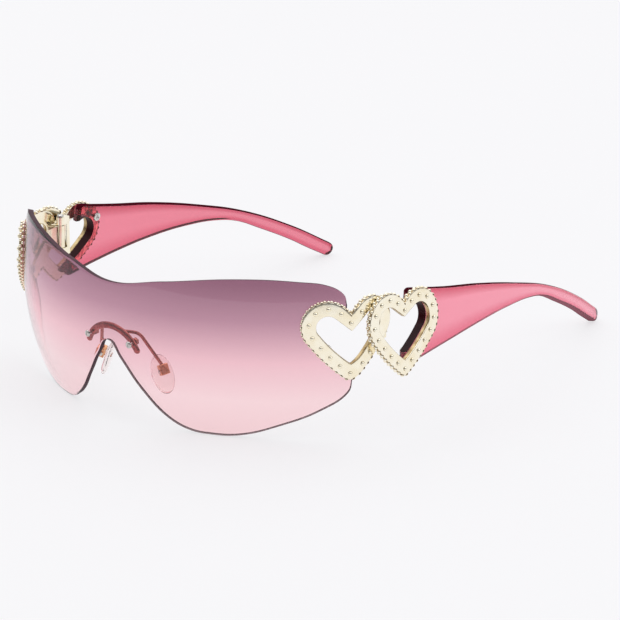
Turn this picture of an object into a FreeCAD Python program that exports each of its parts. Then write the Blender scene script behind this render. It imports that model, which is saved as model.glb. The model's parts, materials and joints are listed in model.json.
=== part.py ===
# Rimless wrap sunglasses: one tinted shield lens, two studded gold hearts linked by a hinge at each
# side, pink temples, and a bridge that carries rocking nose pads.
#
# Frame: X to the wearer's left, Y from the lens back to the temple tips, Z up. The origin is on the
# surface that the glasses rest on, midway between the front of the lens and the tips.
# Lengths are in millimetres. A plan angle is measured from the straight-ahead direction, -Y, towards +X.
import FreeCAD, Part

import math
import os
from collections import namedtuple

import Sketcher
from FreeCAD import Matrix, Placement, Rotation, Vector

SIZES = {
    # Whole object
    "overall_depth": 185.0,
    "cut_overrun": 6.0,
    "seat_gap": 0.02,
    "running_gap": 0.05,
    # Shield lens, a piece of a sphere
    "lens_radius": 88.0,
    "lens_thick": 2.0,
    "lens_half_width": 70.7,
    "lens_height": 53.9,
    "lens_dip_height": 47.6,
    "lens_centre_height": 33.5,
    "notch_height": 28.3,
    # Hearts
    "heart_thick": 1.6,
    "heart_band": 4.4,
    "heart_tip_radius": 2.4,
    "front_heart_width": 30.2,
    "front_heart_height": 25.4,
    "front_lobe_radius": 8.0,
    "front_lobe_height": 39.0,
    "rear_heart_width": 34.0,
    "rear_heart_height": 27.2,
    "rear_lobe_radius": 9.3,
    "rear_lobe_height": 36.3,
    "heart_pitch": 21.3,
    "heart_gap": 0.45,
    "bend_radius": 5.0,
    "rear_bend_radius": 40.0,
    "rear_straight": 10.0,
    "bead_rise": 0.45,
    "bead_spacing": 3.1,
    "stud_radius": 0.62,
    "stud_height": 0.5,
    "stud_spacing": 5.2,
    "lens_lap": 1.5,
    # Hinge
    "barrel_radius": 1.4,
    "barrel_setback": -1.2,
    "barrel_drop": 3.2,
    "hinge_height": 37.0,
    "knuckle_height": 7.6,
    "ear_height": 2.6,
    "ear_gap": 0.25,
    "post_thick": 1.4,
    "web_sink": 0.6,
    "hinge_pin_radius": 0.6,
    "hinge_head_radius": 1.2,
    "hinge_head_height": 0.8,
    # Temples
    "temple_thick": 3.2,
    "temple_front_height": 46.2,
    "temple_setback": 5.8,
    "temple_straight": 25.0,
    "temple_radius": 374.0,
    "temple_tip_radius": 2.4,
    "rivet_radius": 0.7,
    "rivet_head_radius": 1.5,
    "rivet_head_height": 0.6,
    "rivet_seat": 0.08,
    "rivet_bite": 1.2,
    # Screws through the lens
    "screw_radius": 0.6,
    "screw_head_radius": 1.25,
    "screw_head_height": 0.8,
    "washer_radius": 1.7,
    "washer_thick": 0.4,
    "screw_bite": 1.3,
    # Bridge
    "bar_arch_rise": 6.59,
    "bar_arch_height": 32.6,
    "bar_half_span": 10.4,
    "bar_band": 2.3,
    "bar_thick": 1.5,
    "bridge_screw_inset": 1.5,
    "bridge_screw_head_radius": 1.15,
    "bridge_screw_head_height": 0.6,
    "nut_radius": 1.3,
    "nut_thick": 1.1,
    # Nose pads and their arms
    "arm_radius": 0.55,
    "arm_root_x": 4.4,
    "arm_bend_x": 7.9,
    "arm_bend_depth": 7.2,
    "arm_bend_height": 30.7,
    "arm_bend_radius": 1.8,
    "pad_box_x": 13.8,
    "pad_box_depth": 11.95,
    "pad_box_height": 18.2,
    "box_length": 3.4,
    "box_width": 3.0,
    "box_depth": 2.6,
    "box_wall": 0.6,
    "lug_gap": 0.15,
    "lug_length": 1.6,
    "lug_back": 0.6,
    "pad_screw_radius": 0.45,
    "pad_screw_head_radius": 0.8,
    "pad_screw_head_height": 0.4,
    "pad_length": 13.0,
    "pad_width": 7.2,
    "pad_thick": 2.2,
    "pad_drop": 2.7,
    "pad_shift": 1.2,
}

ANGLES = {
    "side_angle": 88.0,
    "temple_turn": 90.0,
    "front_heart_turn": 61.0,
    "rear_heart_turn": 88.7,
    "front_heart_tilt": 0.5,
    "rear_heart_tilt": 6.5,
    "temple_lean": 6.0,
    "temple_tip_slope": 32.0,
    "pad_splay": 30.0,
    "pad_slope": 20.0,
    "pad_lean": 24.0,
}

# Lens outline on its right half, as shares of the half width and of the height.
LENS_TOP_SHARES = ((0.277, 0.941), (0.618, 0.998), (0.830, 0.987), (0.925, 0.959), (0.970, 0.909))
LENS_SIDE_SHARES = ((0.984, 0.846), (1.000, 0.395))
LENS_BOTTOM_SHARES = ((0.979, 0.297), (0.884, 0.184), (0.740, 0.087), (0.577, 0.011), (0.450, 0.000),
                      (0.362, 0.013), (0.280, 0.070), (0.158, 0.256), (0.068, 0.425))

# Temple outline from the side: shares of its length behind the front end, and of its front height.
TEMPLE_TOP_SHARES = ((0.000, 0.975), (0.150, 0.885), (0.314, 0.798), (0.503, 0.670), (0.665, 0.536),
                     (0.854, 0.310))
TEMPLE_BOTTOM_SHARES = ((0.909, 0.091), (0.844, 0.206), (0.729, 0.360), (0.636, 0.472), (0.558, 0.520),
                        (0.441, 0.542), (0.314, 0.536), (0.147, 0.500), (-0.045, 0.440))

# How far the cleft of an inner outline drops for each unit that its band is wide.
FRONT_CLEFT_SHARE = 1.15
REAR_CLEFT_SHARE = 0.95
# How far the lower sides of a heart swell, for each unit of their length.
SWELL_SHARE = 0.035
# A nose pad's rings: shares of its half thickness and of its length and width.
PAD_RING_SHARES = ((-1.0, 0.72), (-0.3, 1.0), (0.3, 1.0), (1.0, 0.72))
# The sides of the small faceted forms.
STUD_SIDES = 4
FASTENER_SIDES = 12
NUT_SIDES = 6
PAD_SIDES = 16
WIRE_SIDES = 8
# The points along the outline from one bead to the next; the first lies in the dip between them.
BEAD_STEPS = 3
# The flats in which the front heart bends from the lens to the side.
BEND_FLATS = 2
# The rounds in which a heart's tip settles.
TIP_ROUNDS = 8
# Places on a heart: on a lobe by its angle, on a lower side by the share of the way from tip to lobe.
FRONT_SCREW_LOBE_ANGLE = 140.0
FRONT_SCREW_SIDE_SHARE = 0.62
REAR_RIVET_LOBE_ANGLE = 40.0
REAR_RIVET_SIDE_SHARE = 0.42
# Hinge webs in plan: shares of the heart's band along the side, from the front heart's rear end.
KNUCKLE_WEB_SHARES = (-1.0, -0.1)
EAR_WEB_SHARES = (0.4, 1.05)
# How far a web reaches in front of the hinge's axis, as a share of the barrel's radius: the ear's web
# stays behind the axis, clear of the front heart's rear end.
KNUCKLE_FRONT_SHARE = 1.0
EAR_FRONT_SHARE = 0.0

Heart = namedtuple("Heart", "width height lobe cleft_share frame")
Run = namedtuple("Run", "kind centre radius start end length")

doc = FreeCAD.newDocument("sunglasses")
sheet = doc.addObject("Spreadsheet::Sheet", "Sizes")
for row, (alias, value) in enumerate({**SIZES, **ANGLES}.items(), start=1):
    sheet.set(f"A{row}", alias)
    sheet.set(f"B{row}", str(value))
    sheet.setAlias(f"B{row}", alias)
doc.recompute()

nodes = []


def size(alias):
    """The value of one cell of the sheet."""
    return sheet.get(alias)


# Directions and places in plan

def outward(angle, distance=1.0):
    """The plan vector that points outwards at an angle."""
    turn = math.radians(angle)
    return Vector(math.sin(turn), -math.cos(turn), 0) * distance


def along(angle, distance=1.0):
    """The plan vector that runs backwards along a side whose outward normal is at an angle."""
    turn = math.radians(angle)
    return Vector(math.cos(turn), math.sin(turn), 0) * distance


def lens_front_y():
    return -size("overall_depth") / 2


def lens_centre():
    """The centre of the lens's sphere."""
    return Vector(0, lens_front_y() + size("lens_radius"), size("lens_centre_height"))


def edge_angle():
    """The plan angle at which the lens ends."""
    return math.degrees(math.asin(size("lens_half_width") / size("lens_radius")))


def bend_centre():
    """The centre of the bend that turns the front heart from the lens to the side of the head."""
    return lens_centre() + outward(edge_angle(), size("lens_radius") - size("bend_radius"))


def side_point(distance, offset):
    """A plan point on the side: a distance behind the bend, and an offset out of the inner face."""
    angle = size("side_angle")
    return bend_centre() + outward(angle, size("bend_radius") + offset) + along(angle, distance)


def rear_offset():
    """The offset of the rear heart's inner face from the front heart's."""
    return size("heart_thick") + size("heart_gap")


def rear_bend():
    """The radius of the rear heart's gentle bend, negative where it turns away from the head."""
    return math.copysign(size("rear_bend_radius"), size("temple_turn") - size("side_angle"))


def rear_bend_centre():
    return side_point(size("rear_straight"), rear_offset()) - outward(size("side_angle"), rear_bend())


def temple_start():
    """The plan point on the temple's outer face where its straight stretch begins."""
    return rear_bend_centre() + outward(size("temple_turn"), rear_bend())


# Document helpers

def keep(node, shape_object):
    """Name a finished sub-part, which is written to a file of that name."""
    shape_object.Label = node
    nodes.append(shape_object)
    return shape_object


def feature(name, shape):
    """A sub-shape made by a function."""
    made = doc.addObject("Part::Feature", name)
    made.Shape = shape
    return made


def primitive(kind, name, placement=None, **expressions):
    """A primitive whose properties are bound to the sheet."""
    made = doc.addObject(kind, name)
    for prop, expression in expressions.items():
        made.setExpression(prop, expression)
    if placement:
        made.Placement = placement
    return made


def cut(name, base, tool):
    made = doc.addObject("Part::Cut", name)
    made.Base = base
    made.Tool = tool
    return made


def gathered(kind, name, shapes):
    """A fuse or a common of several objects."""
    made = doc.addObject(kind, name)
    made.Shapes = shapes
    return made


def group(name, solids):
    """Separate solids that share one node."""
    made = doc.addObject("Part::Compound", name)
    made.Links = solids
    return made


def mirrored(name, source):
    """The same piece for the other side."""
    made = doc.addObject("Part::Mirroring", name)
    made.Source = source
    made.Base = Vector(0, 0, 0)
    made.Normal = Vector(1, 0, 0)
    return made


def both_sides(stem, left):
    """Keep a left piece and its mirror image."""
    keep(f"{stem}_left", left)
    keep(f"{stem}_right", mirrored(f"{stem}_mirror", left))


def pointing(position, direction):
    """A placement whose Z axis points along a direction."""
    return Placement(position, Rotation(Vector(0, 0, 1), direction))


def turned(name, profile, placement):
    """A body turned about its Z axis. The profile lists (radius, height) as expressions on the sheet."""
    body = doc.addObject("PartDesign::Body", name)
    sketch = body.newObject("Sketcher::SketchObject", f"{name}_profile")
    plane = [item for item in body.Origin.OriginFeatures if item.Role == "XZ_Plane"][0]
    sketch.AttachmentSupport = [(plane, "")]
    sketch.MapMode = "FlatFace"
    places = [(value_of(radius), value_of(height)) for radius, height in profile]
    corners = [Vector(radius, height, 0) for radius, height in places]
    for number, corner in enumerate(corners):
        following = corners[(number + 1) % len(corners)]
        sketch.addGeometry(Part.LineSegment(corner, following), False)
    for number, (radius, height) in enumerate(profile):
        tie_corner(sketch, number, len(profile), radius, height)
    turning = body.newObject("PartDesign::Revolution", f"{name}_turning")
    turning.Profile = sketch
    turning.ReferenceAxis = (sketch, ["V_Axis"])
    body.Placement = placement
    return body


def stacked(name, placement, steps):
    """A small fastener as a stack of prisms. A step gives its radius, foot and height as expressions."""
    prisms = []
    for number, (radius, foot, height) in enumerate(steps):
        seat = placement * Placement(Vector(0, 0, value_of(foot)), Rotation())
        prisms.append(primitive("Part::Prism", f"{name}_step_{number}", seat, Circumradius=radius,
                                Height=height))
        prisms[-1].Polygon = FASTENER_SIDES
    return gathered("Part::MultiFuse", name, prisms) if len(prisms) > 1 else prisms[0]


def bore(name, placement, radius, height):
    """A hole for a fastener, with as many flat sides, that clears a radius all round."""
    made = primitive("Part::Prism", name, placement, Height=height,
                     Circumradius=f"({radius}) / cos(180 deg / {FASTENER_SIDES})")
    made.Polygon = FASTENER_SIDES
    return made


def value_of(expression):
    """The present value of an expression on the sheet, to draw a profile before it is tied."""
    return float(sheet.evalExpression(expression)) if expression != "0" else 0.0


def tie_corner(sketch, number, count, radius, height):
    """Tie one corner of a profile to its two expressions."""
    sketch.addConstraint(Sketcher.Constraint("Coincident", number, 2, (number + 1) % count, 1))
    for kind, axis, expression in (("DistanceX", -2, radius), ("DistanceY", -1, height)):
        if expression == "0":
            sketch.addConstraint(Sketcher.Constraint("PointOnObject", number, 1, axis))
        else:
            place = value_of(expression)
            index = sketch.addConstraint(Sketcher.Constraint(kind, -1, 1, number, 1, place))
            sketch.setExpression(f"Constraints[{index}]", expression)


# Heart outlines

def heart_half_angle(heart):
    """The half angle at a heart's sharp tip, and how far that tip lies under the lobes' centres."""
    spread = heart.width / 2 - heart.lobe
    depth = heart.height - heart.lobe
    for _ in range(TIP_ROUNDS):
        half = math.atan2(spread, depth) + math.asin(heart.lobe / math.hypot(spread, depth))
        depth = heart.height - heart.lobe + size("heart_tip_radius") * (1 / math.sin(half) - 1)
    return half, depth


def half_heart_wire(heart, inset):
    """The right half of a heart's outline, drawn in by an inset, from its tip up to its cleft."""
    half, depth = heart_half_angle(heart)
    spread = heart.width / 2 - heart.lobe
    lobe = heart.lobe - inset
    cleft_height = math.sqrt(max(heart.lobe ** 2 - spread ** 2, 0)) - inset * heart.cleft_share
    cleft = Vector(0, cleft_height, 0)
    reach = math.hypot(spread, cleft_height)
    top_angle = math.atan2(cleft_height, -spread) % (2 * math.pi) - math.acos(min(1, lobe / reach))
    side = Vector(math.cos(half), -math.sin(half), 0)

    def on_lobe(angle):
        return Vector(spread + lobe * math.cos(angle), lobe * math.sin(angle), 0)

    tip_radius = max(size("heart_tip_radius") - inset, 0)
    tip_centre = Vector(0, -depth + (inset + tip_radius) / math.sin(half), 0)
    tip = tip_centre + side * tip_radius
    shoulder = on_lobe(-half)
    swell = (tip + shoulder) / 2 + side * (shoulder - tip).Length * SWELL_SHARE
    right = []
    if tip_radius > 0:
        lowest = tip_centre - Vector(0, tip_radius, 0)
        beside = tip_centre + (side - Vector(0, 1, 0)).normalize() * tip_radius
        right.append(Part.Arc(lowest, beside, tip).toShape())
    right.append(Part.Arc(tip, swell, shoulder).toShape())
    right.append(Part.Arc(shoulder, on_lobe((top_angle - half) / 2), on_lobe(top_angle)).toShape())
    if (on_lobe(top_angle) - cleft).Length > size("seat_gap"):
        right.append(Part.LineSegment(on_lobe(top_angle), cleft).toShape())
    return Part.Wire(right)


def mirrored_edges(edges):
    return [edge.mirror(Vector(0, 0, 0), Vector(1, 0, 0)) for edge in edges]


def heart_wire(heart, inset):
    """A heart's smooth outline, drawn in by an inset, in the heart's own plane."""
    half = half_heart_wire(heart, inset).Edges
    return Part.Wire(Part.__sortEdges__(half + mirrored_edges(half)))


def beaded_half(heart, side, free):
    """Half of a heart's outline, with beads where its edge is free, which stop short of the cleft."""
    wire = half_heart_wire(heart, 0)
    count = BEAD_STEPS * max(round(wire.Length / size("bead_spacing")), 1)
    places = [Vector(side * place.x, place.y, 0) for place in wire.discretize(Number=count + 1)]
    half = []
    for step, place in enumerate(places):
        in_bead = step % BEAD_STEPS and step < count - BEAD_STEPS
        if in_bead and free(place):
            run = places[step + 1] - places[step - 1]
            place = place + Vector(run.y, -run.x, 0).normalize() * side * size("bead_rise")
        half.append(place)
    return half


def beaded_wire(heart, free):
    """A heart's beaded outline, up one side from its tip and down the other."""
    right = beaded_half(heart, 1, free)
    left = beaded_half(heart, -1, free)
    return Part.makePolygon(right + left[-2::-1])


def heart_prism(heart, wire):
    """The space inside an outline, run far through the heart along its normal."""
    reach = heart.width
    face = Part.Face(wire.translated(Vector(0, 0, -reach)))
    prism = face.extrude(Vector(0, 0, 2 * reach))
    prism.Placement = heart.frame
    return prism


def lean():
    """The turn that leans a temple's top inwards."""
    return Rotation(Vector(0, 1, 0), -size("temple_lean"))


def leaned(shape):
    """A shape on the left side, leaned about the level of the rear heart's lobes."""
    start = temple_start()
    shape.rotate(Vector(start.x, start.y, size("rear_lobe_height")), Vector(0, 1, 0), -size("temple_lean"))
    return shape


def heart_frame(origin, turn, tilt):
    """A placement with X backwards along the heart, Y up and Z out of its face."""
    axes = Matrix()
    axes.A11, axes.A21, axes.A31 = along(turn)
    axes.A12, axes.A22, axes.A32 = Vector(0, 0, 1)
    axes.A13, axes.A23, axes.A33 = outward(turn)
    return Placement(origin, Placement(axes).Rotation * Rotation(Vector(0, 0, 1), -tilt))


def front_heart():
    origin = lens_centre() + outward(edge_angle(), size("lens_radius"))
    origin.z = size("front_lobe_height")
    frame = heart_frame(origin, size("front_heart_turn"), size("front_heart_tilt"))
    return Heart(size("front_heart_width"), size("front_heart_height"), size("front_lobe_radius"),
                 FRONT_CLEFT_SHARE, frame)


def rear_heart():
    origin = front_heart().frame.Base + Vector(0, size("heart_pitch"), 0)
    origin.x = temple_start().x
    origin.z = size("rear_lobe_height")
    frame = heart_frame(origin, size("rear_heart_turn"), size("rear_heart_tilt"))
    frame.Rotation = lean() * frame.Rotation
    return Heart(size("rear_heart_width"), size("rear_heart_height"), size("rear_lobe_radius"),
                 REAR_CLEFT_SHARE, frame)


def on_band(heart, side, lobe_angle=None, side_share=None):
    """A point on the middle of a heart's band, in its own plane; side is 1 for the rear, -1 the front."""
    middle = heart.lobe - size("heart_band") / 2
    spread = heart.width / 2 - heart.lobe
    half, depth = heart_half_angle(heart)
    if lobe_angle is not None:
        turn = math.radians(lobe_angle)
        return Vector(side * spread + middle * math.cos(turn), middle * math.sin(turn), 0)
    tip = Vector(0, -depth + size("heart_band") / 2 / math.sin(half), 0)
    shoulder = Vector(side * (spread + middle * math.cos(half)), -middle * math.sin(half), 0)
    return tip + (shoulder - tip) * side_share


# Curved plates, drawn in plan as runs of arcs and straights

def run_edge(run, offset):
    """One run of a plate's plan, at an offset out of its inner face: an arc, its chord or a straight."""
    places = [run.centre + outward(angle, run.radius + offset)
              for angle in (run.start, (run.start + run.end) / 2, run.end)]
    if run.kind == "arc":
        return Part.Arc(*places).toShape()
    end = places[-1] if run.kind == "chord" else places[0] + along(run.start, run.length)
    return Part.LineSegment(places[0], end).toShape()


def plan_face(runs, inner, outer):
    """The plan of a curved plate between two offsets."""
    inner_edges = [run_edge(run, inner) for run in runs]
    outer_edges = [run_edge(run, outer) for run in runs]
    ends = [(inner_edges[0].firstVertex(), outer_edges[0].firstVertex()),
            (inner_edges[-1].lastVertex(), outer_edges[-1].lastVertex())]
    caps = [Part.LineSegment(first.Point, last.Point).toShape() for first, last in ends]
    return Part.Face(Part.Wire(Part.__sortEdges__(inner_edges + outer_edges + caps)))


def front_runs():
    """The front heart's plate: round the lens, round the bend in flats, then straight along the side."""
    spread = math.degrees(size("front_heart_width") / size("lens_radius"))
    angle = size("side_angle")
    flat = (angle - edge_angle()) / BEND_FLATS
    folds = [edge_angle() + flat * number for number in range(BEND_FLATS)]
    bend = size("bend_radius")
    lens_run = Run("arc", lens_centre(), size("lens_radius"), edge_angle() - spread, edge_angle(), 0)
    flats = [Run("chord", bend_centre(), bend, fold, fold + flat, 0) for fold in folds]
    side_run = Run("straight", bend_centre(), bend, angle, angle, size("front_heart_width"))
    return [lens_run] + flats + [side_run]


def temple_runs():
    """The temple's outer face: straight behind the rear heart, then one long curve."""
    radius = size("temple_radius")
    straight = size("temple_straight")
    turn = size("temple_turn")
    lead_centre = temple_start() - outward(turn, radius)
    centre = lead_centre + along(turn, straight)
    end_angle = turn + math.degrees(size("overall_depth") / radius)
    return [Run("straight", lead_centre, radius, turn, turn, straight),
            Run("arc", centre, radius, turn, end_angle, 0)]


def rear_runs():
    """The rear heart's plate: straight beside the front heart, a gentle bend, then along the temple."""
    angle = size("side_angle")
    lead = size("rear_heart_width") / 2
    straight_start = bend_centre() - along(angle, lead)
    return [Run("straight", straight_start, size("bend_radius") + rear_offset(), angle, angle,
                lead + size("rear_straight")),
            Run("arc", rear_bend_centre(), rear_bend(), angle, size("temple_turn"), 0)] + temple_runs()


def front_plate():
    """The front heart's plate before it is cut to its outline: it is bowed upright as the lens is."""
    middle = lens_centre()
    axis = along(size("front_heart_turn"))
    bow = math.degrees(size("front_heart_height") / size("lens_radius"))
    face = plan_face(front_runs(), 0, size("heart_thick"))
    face.rotate(middle, axis, -bow)
    return face.revolve(middle, axis, 2 * bow)


def upright(face):
    """A plan face stood up as a wall as tall as the lens, with overrun."""
    wall = face.copy()
    wall.translate(Vector(0, 0, -wall.BoundBox.ZMin - size("cut_overrun")))
    return wall.extrude(Vector(0, 0, size("lens_height") + 2 * size("cut_overrun")))


def rear_plate():
    return leaned(upright(plan_face(rear_runs(), 0, size("heart_thick"))))


def pierce(heart, plate, place):
    """Where a line along the heart's normal enters and leaves its plate."""
    reach = heart.width
    start = heart.frame.multVec(place - Vector(0, 0, reach))
    end = heart.frame.multVec(place + Vector(0, 0, reach))
    line = Part.LineSegment(start, end).toShape()
    points = [vertex.Point for vertex in line.common(plate).Vertexes]
    points.sort(key=lambda point: (point - start).Length)
    return points[0], points[-1]


def spaced_points(heart, inset, spacing):
    """Places at an even spacing along an outline."""
    wire = heart_wire(heart, inset)
    count = round(wire.Length / spacing)
    return wire.discretize(Number=count + 1)[:-1]


def ring(sides, half_length, half_width, level=0):
    """The corners of a ring of straight sides on an oval."""
    turns = [2 * math.pi * number / sides for number in range(sides)]
    return [Vector(half_length * math.cos(turn), half_width * math.sin(turn), level) for turn in turns]


def closed(corners):
    return Part.makePolygon(corners + corners[:1])


def flat_sided(rings):
    """A solid with flat sides through a stack of rings."""
    faces = [Part.Face(closed(rings[0])), Part.Face(closed(rings[-1]))]
    for lower, upper in zip(rings, rings[1:]):
        for number in range(len(lower)):
            corners = [lower[number - 1], lower[number], upper[number], upper[number - 1]]
            faces.append(Part.Face(closed(corners)))
    return Part.Solid(Part.Shell(faces))


def stud(foot, direction):
    """A short stud with a few flat sides, whose foot is sunk in its plate."""
    radius = size("stud_radius")
    height = size("heart_thick") / 2 + size("stud_height")
    made = flat_sided([ring(STUD_SIDES, radius, radius), ring(STUD_SIDES, radius / 2, radius / 2, height)])
    made.Placement = pointing(foot, direction)
    return made


def face_studs(heart, plate, free):
    """Studs along the middle of the band, where the face is free."""
    studs = []
    normal = heart.frame.Rotation.multVec(Vector(0, 0, 1))
    foot = size("heart_thick") / 2
    for place in spaced_points(heart, size("heart_band") / 2, size("stud_spacing")):
        if free(place):
            inner, outer = pierce(heart, plate, place)
            studs.append(stud(outer - normal * foot, normal))
    return studs


def covered_by(heart, point):
    """Whether a point lies behind a heart, with room for a stud to spare."""
    room = size("stud_radius") + size("bead_rise")
    place = heart.frame.inverse().multVec(point)
    place.z = 0
    face = Part.Face(heart_wire(heart, 0))
    return face.distToShape(Part.Vertex(place))[0] < room


def studded_heart(heart, plate, free):
    """One heart casting: its plate cut to a band with a beaded edge, and studs on its face."""
    blank = plate.common(heart_prism(heart, beaded_wire(heart, free)))
    band = blank.cut(heart_prism(heart, heart_wire(heart, size("heart_band"))))
    return band.multiFuse(face_studs(heart, plate, free))


# Hinge

def front_end_distance():
    """How far behind the bend the front heart ends."""
    heart = front_heart()
    reach = heart.frame.multVec(Vector(heart.width / 2, 0, 0)) - side_point(0, 0)
    return reach.dot(along(size("front_heart_turn"))) / math.cos(
        math.radians(size("side_angle") - size("front_heart_turn")))


def hinge_axis():
    """The plan point of the hinge's axis, just behind and inside the front heart's rear end."""
    return side_point(front_end_distance() + size("barrel_setback"), -size("barrel_drop"))


def knuckle_levels():
    """The bottoms of the lower ear, the knuckle and the upper ear."""
    knuckle = size("hinge_height") - size("knuckle_height") / 2
    lower = knuckle - size("ear_gap") - size("ear_height")
    upper = knuckle + size("knuckle_height") + size("ear_gap")
    return lower, knuckle, upper


def web(shares, front_share, offset, level, height):
    """A web in plan from a heart's inner face to the hinge's barrel."""
    end = front_end_distance()
    root = [side_point(end + share * size("heart_band"), offset + size("web_sink")) for share in shares]
    axis = hinge_axis()
    radius = size("barrel_radius") - size("seat_gap")
    spine = (root[0] + root[1]) / 2 - axis
    spine.z = 0
    spine.normalize()
    across = Vector(-spine.y, spine.x, 0) * radius
    if (root[1] - root[0]).dot(across) > 0:
        across = -across
    corners = [root[0], root[1], axis - across, axis + across * front_share]
    corners = [Vector(corner.x, corner.y, level) for corner in corners]
    face = Part.Face(Part.makePolygon(corners + corners[:1]))
    return face.extrude(Vector(0, 0, height))


def strip(reach_start, reach_end, level, height):
    """A strip in plan, as wide as the barrel, between two distances behind the hinge's axis."""
    angle = size("side_angle")
    half = outward(angle, size("barrel_radius") - size("seat_gap"))
    ends = [hinge_axis() + along(angle, reach) for reach in (reach_start, reach_end)]
    corners = [ends[0] - half, ends[0] + half, ends[1] + half, ends[1] - half]
    corners = [Vector(corner.x, corner.y, level) for corner in corners]
    return Part.Face(Part.makePolygon(corners + corners[:1])).extrude(Vector(0, 0, height))


def barrel(name, level, height_alias):
    """One knuckle of the hinge."""
    axis = hinge_axis()
    return primitive("Part::Cylinder", name, Placement(Vector(axis.x, axis.y, level), Rotation()),
                     Radius="Sizes.barrel_radius", Height=f"Sizes.{height_alias}")


def hinge_foot():
    """A placement on the hinge's axis, at the level that the glasses rest on."""
    axis = hinge_axis()
    return Placement(Vector(axis.x, axis.y, 0), Rotation())


def hinge_screws():
    lower, knuckle, upper = knuckle_levels()
    axis = hinge_axis()
    shank = "3 * Sizes.ear_gap + 2 * Sizes.ear_height + Sizes.knuckle_height"
    steps = [("Sizes.hinge_pin_radius", "0", shank),
             ("Sizes.hinge_head_radius", shank, "Sizes.hinge_head_height")]
    foot = Placement(Vector(axis.x, axis.y, lower), Rotation())
    both_sides("hinge_screw", stacked("hinge_pin", foot, steps))


# Shield lens

def lens_corner(place_shares):
    """A point of the lens outline from its shares of the half width and the height."""
    across, up = place_shares
    return Vector(across * size("lens_half_width"), 0, up * size("lens_height"))


def thrown_out(place):
    """An outline point thrown from the sphere's centre onto a flat plane in front of the lens."""
    centre = lens_centre()
    rise = place.z - centre.z
    ahead = math.sqrt(size("lens_radius") ** 2 - place.x ** 2 - rise ** 2)
    scale = (size("lens_radius") + size("cut_overrun")) / ahead
    return centre + Vector(place.x, -ahead, rise) * scale


def spline(places, start_tangent=None, end_tangent=None):
    """A smooth curve through places, whose ends point along their chords unless told otherwise."""
    start_tangent = start_tangent or places[1] - places[0]
    end_tangent = end_tangent or places[-1] - places[-2]
    curve = Part.BSplineCurve()
    curve.interpolate(Points=places, InitialTangent=Vector(start_tangent).normalize(),
                      FinalTangent=Vector(end_tangent).normalize(), Scale=False)
    return curve.toShape()


def lens_edge_cone():
    """The solid from the sphere's centre out through the lens outline, so that edges are cut square."""
    dip = Vector(0, 0, size("lens_dip_height"))
    notch = Vector(0, 0, size("notch_height"))
    side = [lens_corner(share) for share in LENS_SIDE_SHARES]
    top = [dip] + [lens_corner(share) for share in LENS_TOP_SHARES] + side[:1]
    bottom = side[1:] + [lens_corner(share) for share in LENS_BOTTOM_SHARES] + [notch]
    level = Vector(1, 0, 0)
    down = thrown_out(side[1]) - thrown_out(side[0])
    right = [spline([thrown_out(place) for place in top], level, down),
             Part.LineSegment(thrown_out(side[0]), thrown_out(side[1])).toShape(),
             spline([thrown_out(place) for place in bottom], down, -level)]
    left = [edge.mirror(Vector(0, 0, 0), Vector(1, 0, 0)) for edge in right]
    outline = Part.Wire(Part.__sortEdges__(right + left))
    return Part.makeLoft([Part.Vertex(lens_centre()), outline], True, True)


def on_lens(x, z):
    """The outward direction from the sphere's centre through a place on the lens."""
    centre = lens_centre()
    ahead = math.sqrt(size("lens_radius") ** 2 - x ** 2 - (z - centre.z) ** 2)
    return Vector(x, -ahead, z - centre.z).normalize()


def bar_arch_radius():
    """The radius of the bridge bar's arch, from its half span and its rise."""
    rise = size("bar_arch_rise")
    return (size("bar_half_span") ** 2 + rise ** 2) / (2 * rise)


def bar_height(x):
    """The height of the middle of the bridge bar at a distance from the centre."""
    arch = bar_arch_radius()
    return size("bar_arch_height") - arch + math.sqrt(arch ** 2 - x ** 2)


def bridge_screw_directions():
    x = size("bar_half_span") - size("bridge_screw_inset")
    return [on_lens(side * x, bar_height(x)) for side in (1, -1)]


def front_screw_directions():
    """Outward directions of the two screws that hold the left front heart."""
    heart = front_heart()
    places = [on_band(heart, -1, lobe_angle=FRONT_SCREW_LOBE_ANGLE),
              on_band(heart, -1, side_share=FRONT_SCREW_SIDE_SHARE)]
    plate = front_plate()
    return [(pierce(heart, plate, place)[0] - lens_centre()).normalize() for place in places]


def flipped(direction):
    """A direction on the other side of the glasses."""
    return Vector(-direction.x, direction.y, direction.z)


def lens_hole(name, direction):
    """A hole square through the lens."""
    start = lens_centre() + direction * (size("lens_radius") - size("lens_thick") - size("cut_overrun"))
    return bore(name, pointing(start, direction), "Sizes.screw_radius + Sizes.running_gap",
                "Sizes.lens_thick + 2 * Sizes.cut_overrun")


def shield_lens():
    centre = Placement(lens_centre(), Rotation())
    front = primitive("Part::Sphere", "lens_front", centre, Radius="Sizes.lens_radius")
    back = primitive("Part::Sphere", "lens_back", centre, Radius="Sizes.lens_radius - Sizes.lens_thick")
    shell = cut("lens_shell", front, back)
    blank = gathered("Part::MultiCommon", "lens_blank",
                     [shell, feature("lens_edges", lens_edge_cone())])
    heart = front_heart()
    window = feature("lens_window",
                     heart_prism(heart, heart_wire(heart, size("heart_band") - size("lens_lap"))))
    sides = front_screw_directions()
    directions = bridge_screw_directions() + sides + [flipped(side) for side in sides]
    holes = [lens_hole(f"lens_hole_{number}", direction) for number, direction in enumerate(directions)]
    tools = gathered("Part::MultiFuse", "lens_cuts",
                     holes + [window, mirrored("lens_window_mirror", window)])
    keep("shield_lens", cut("lens", blank, tools))


# Bridge

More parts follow.
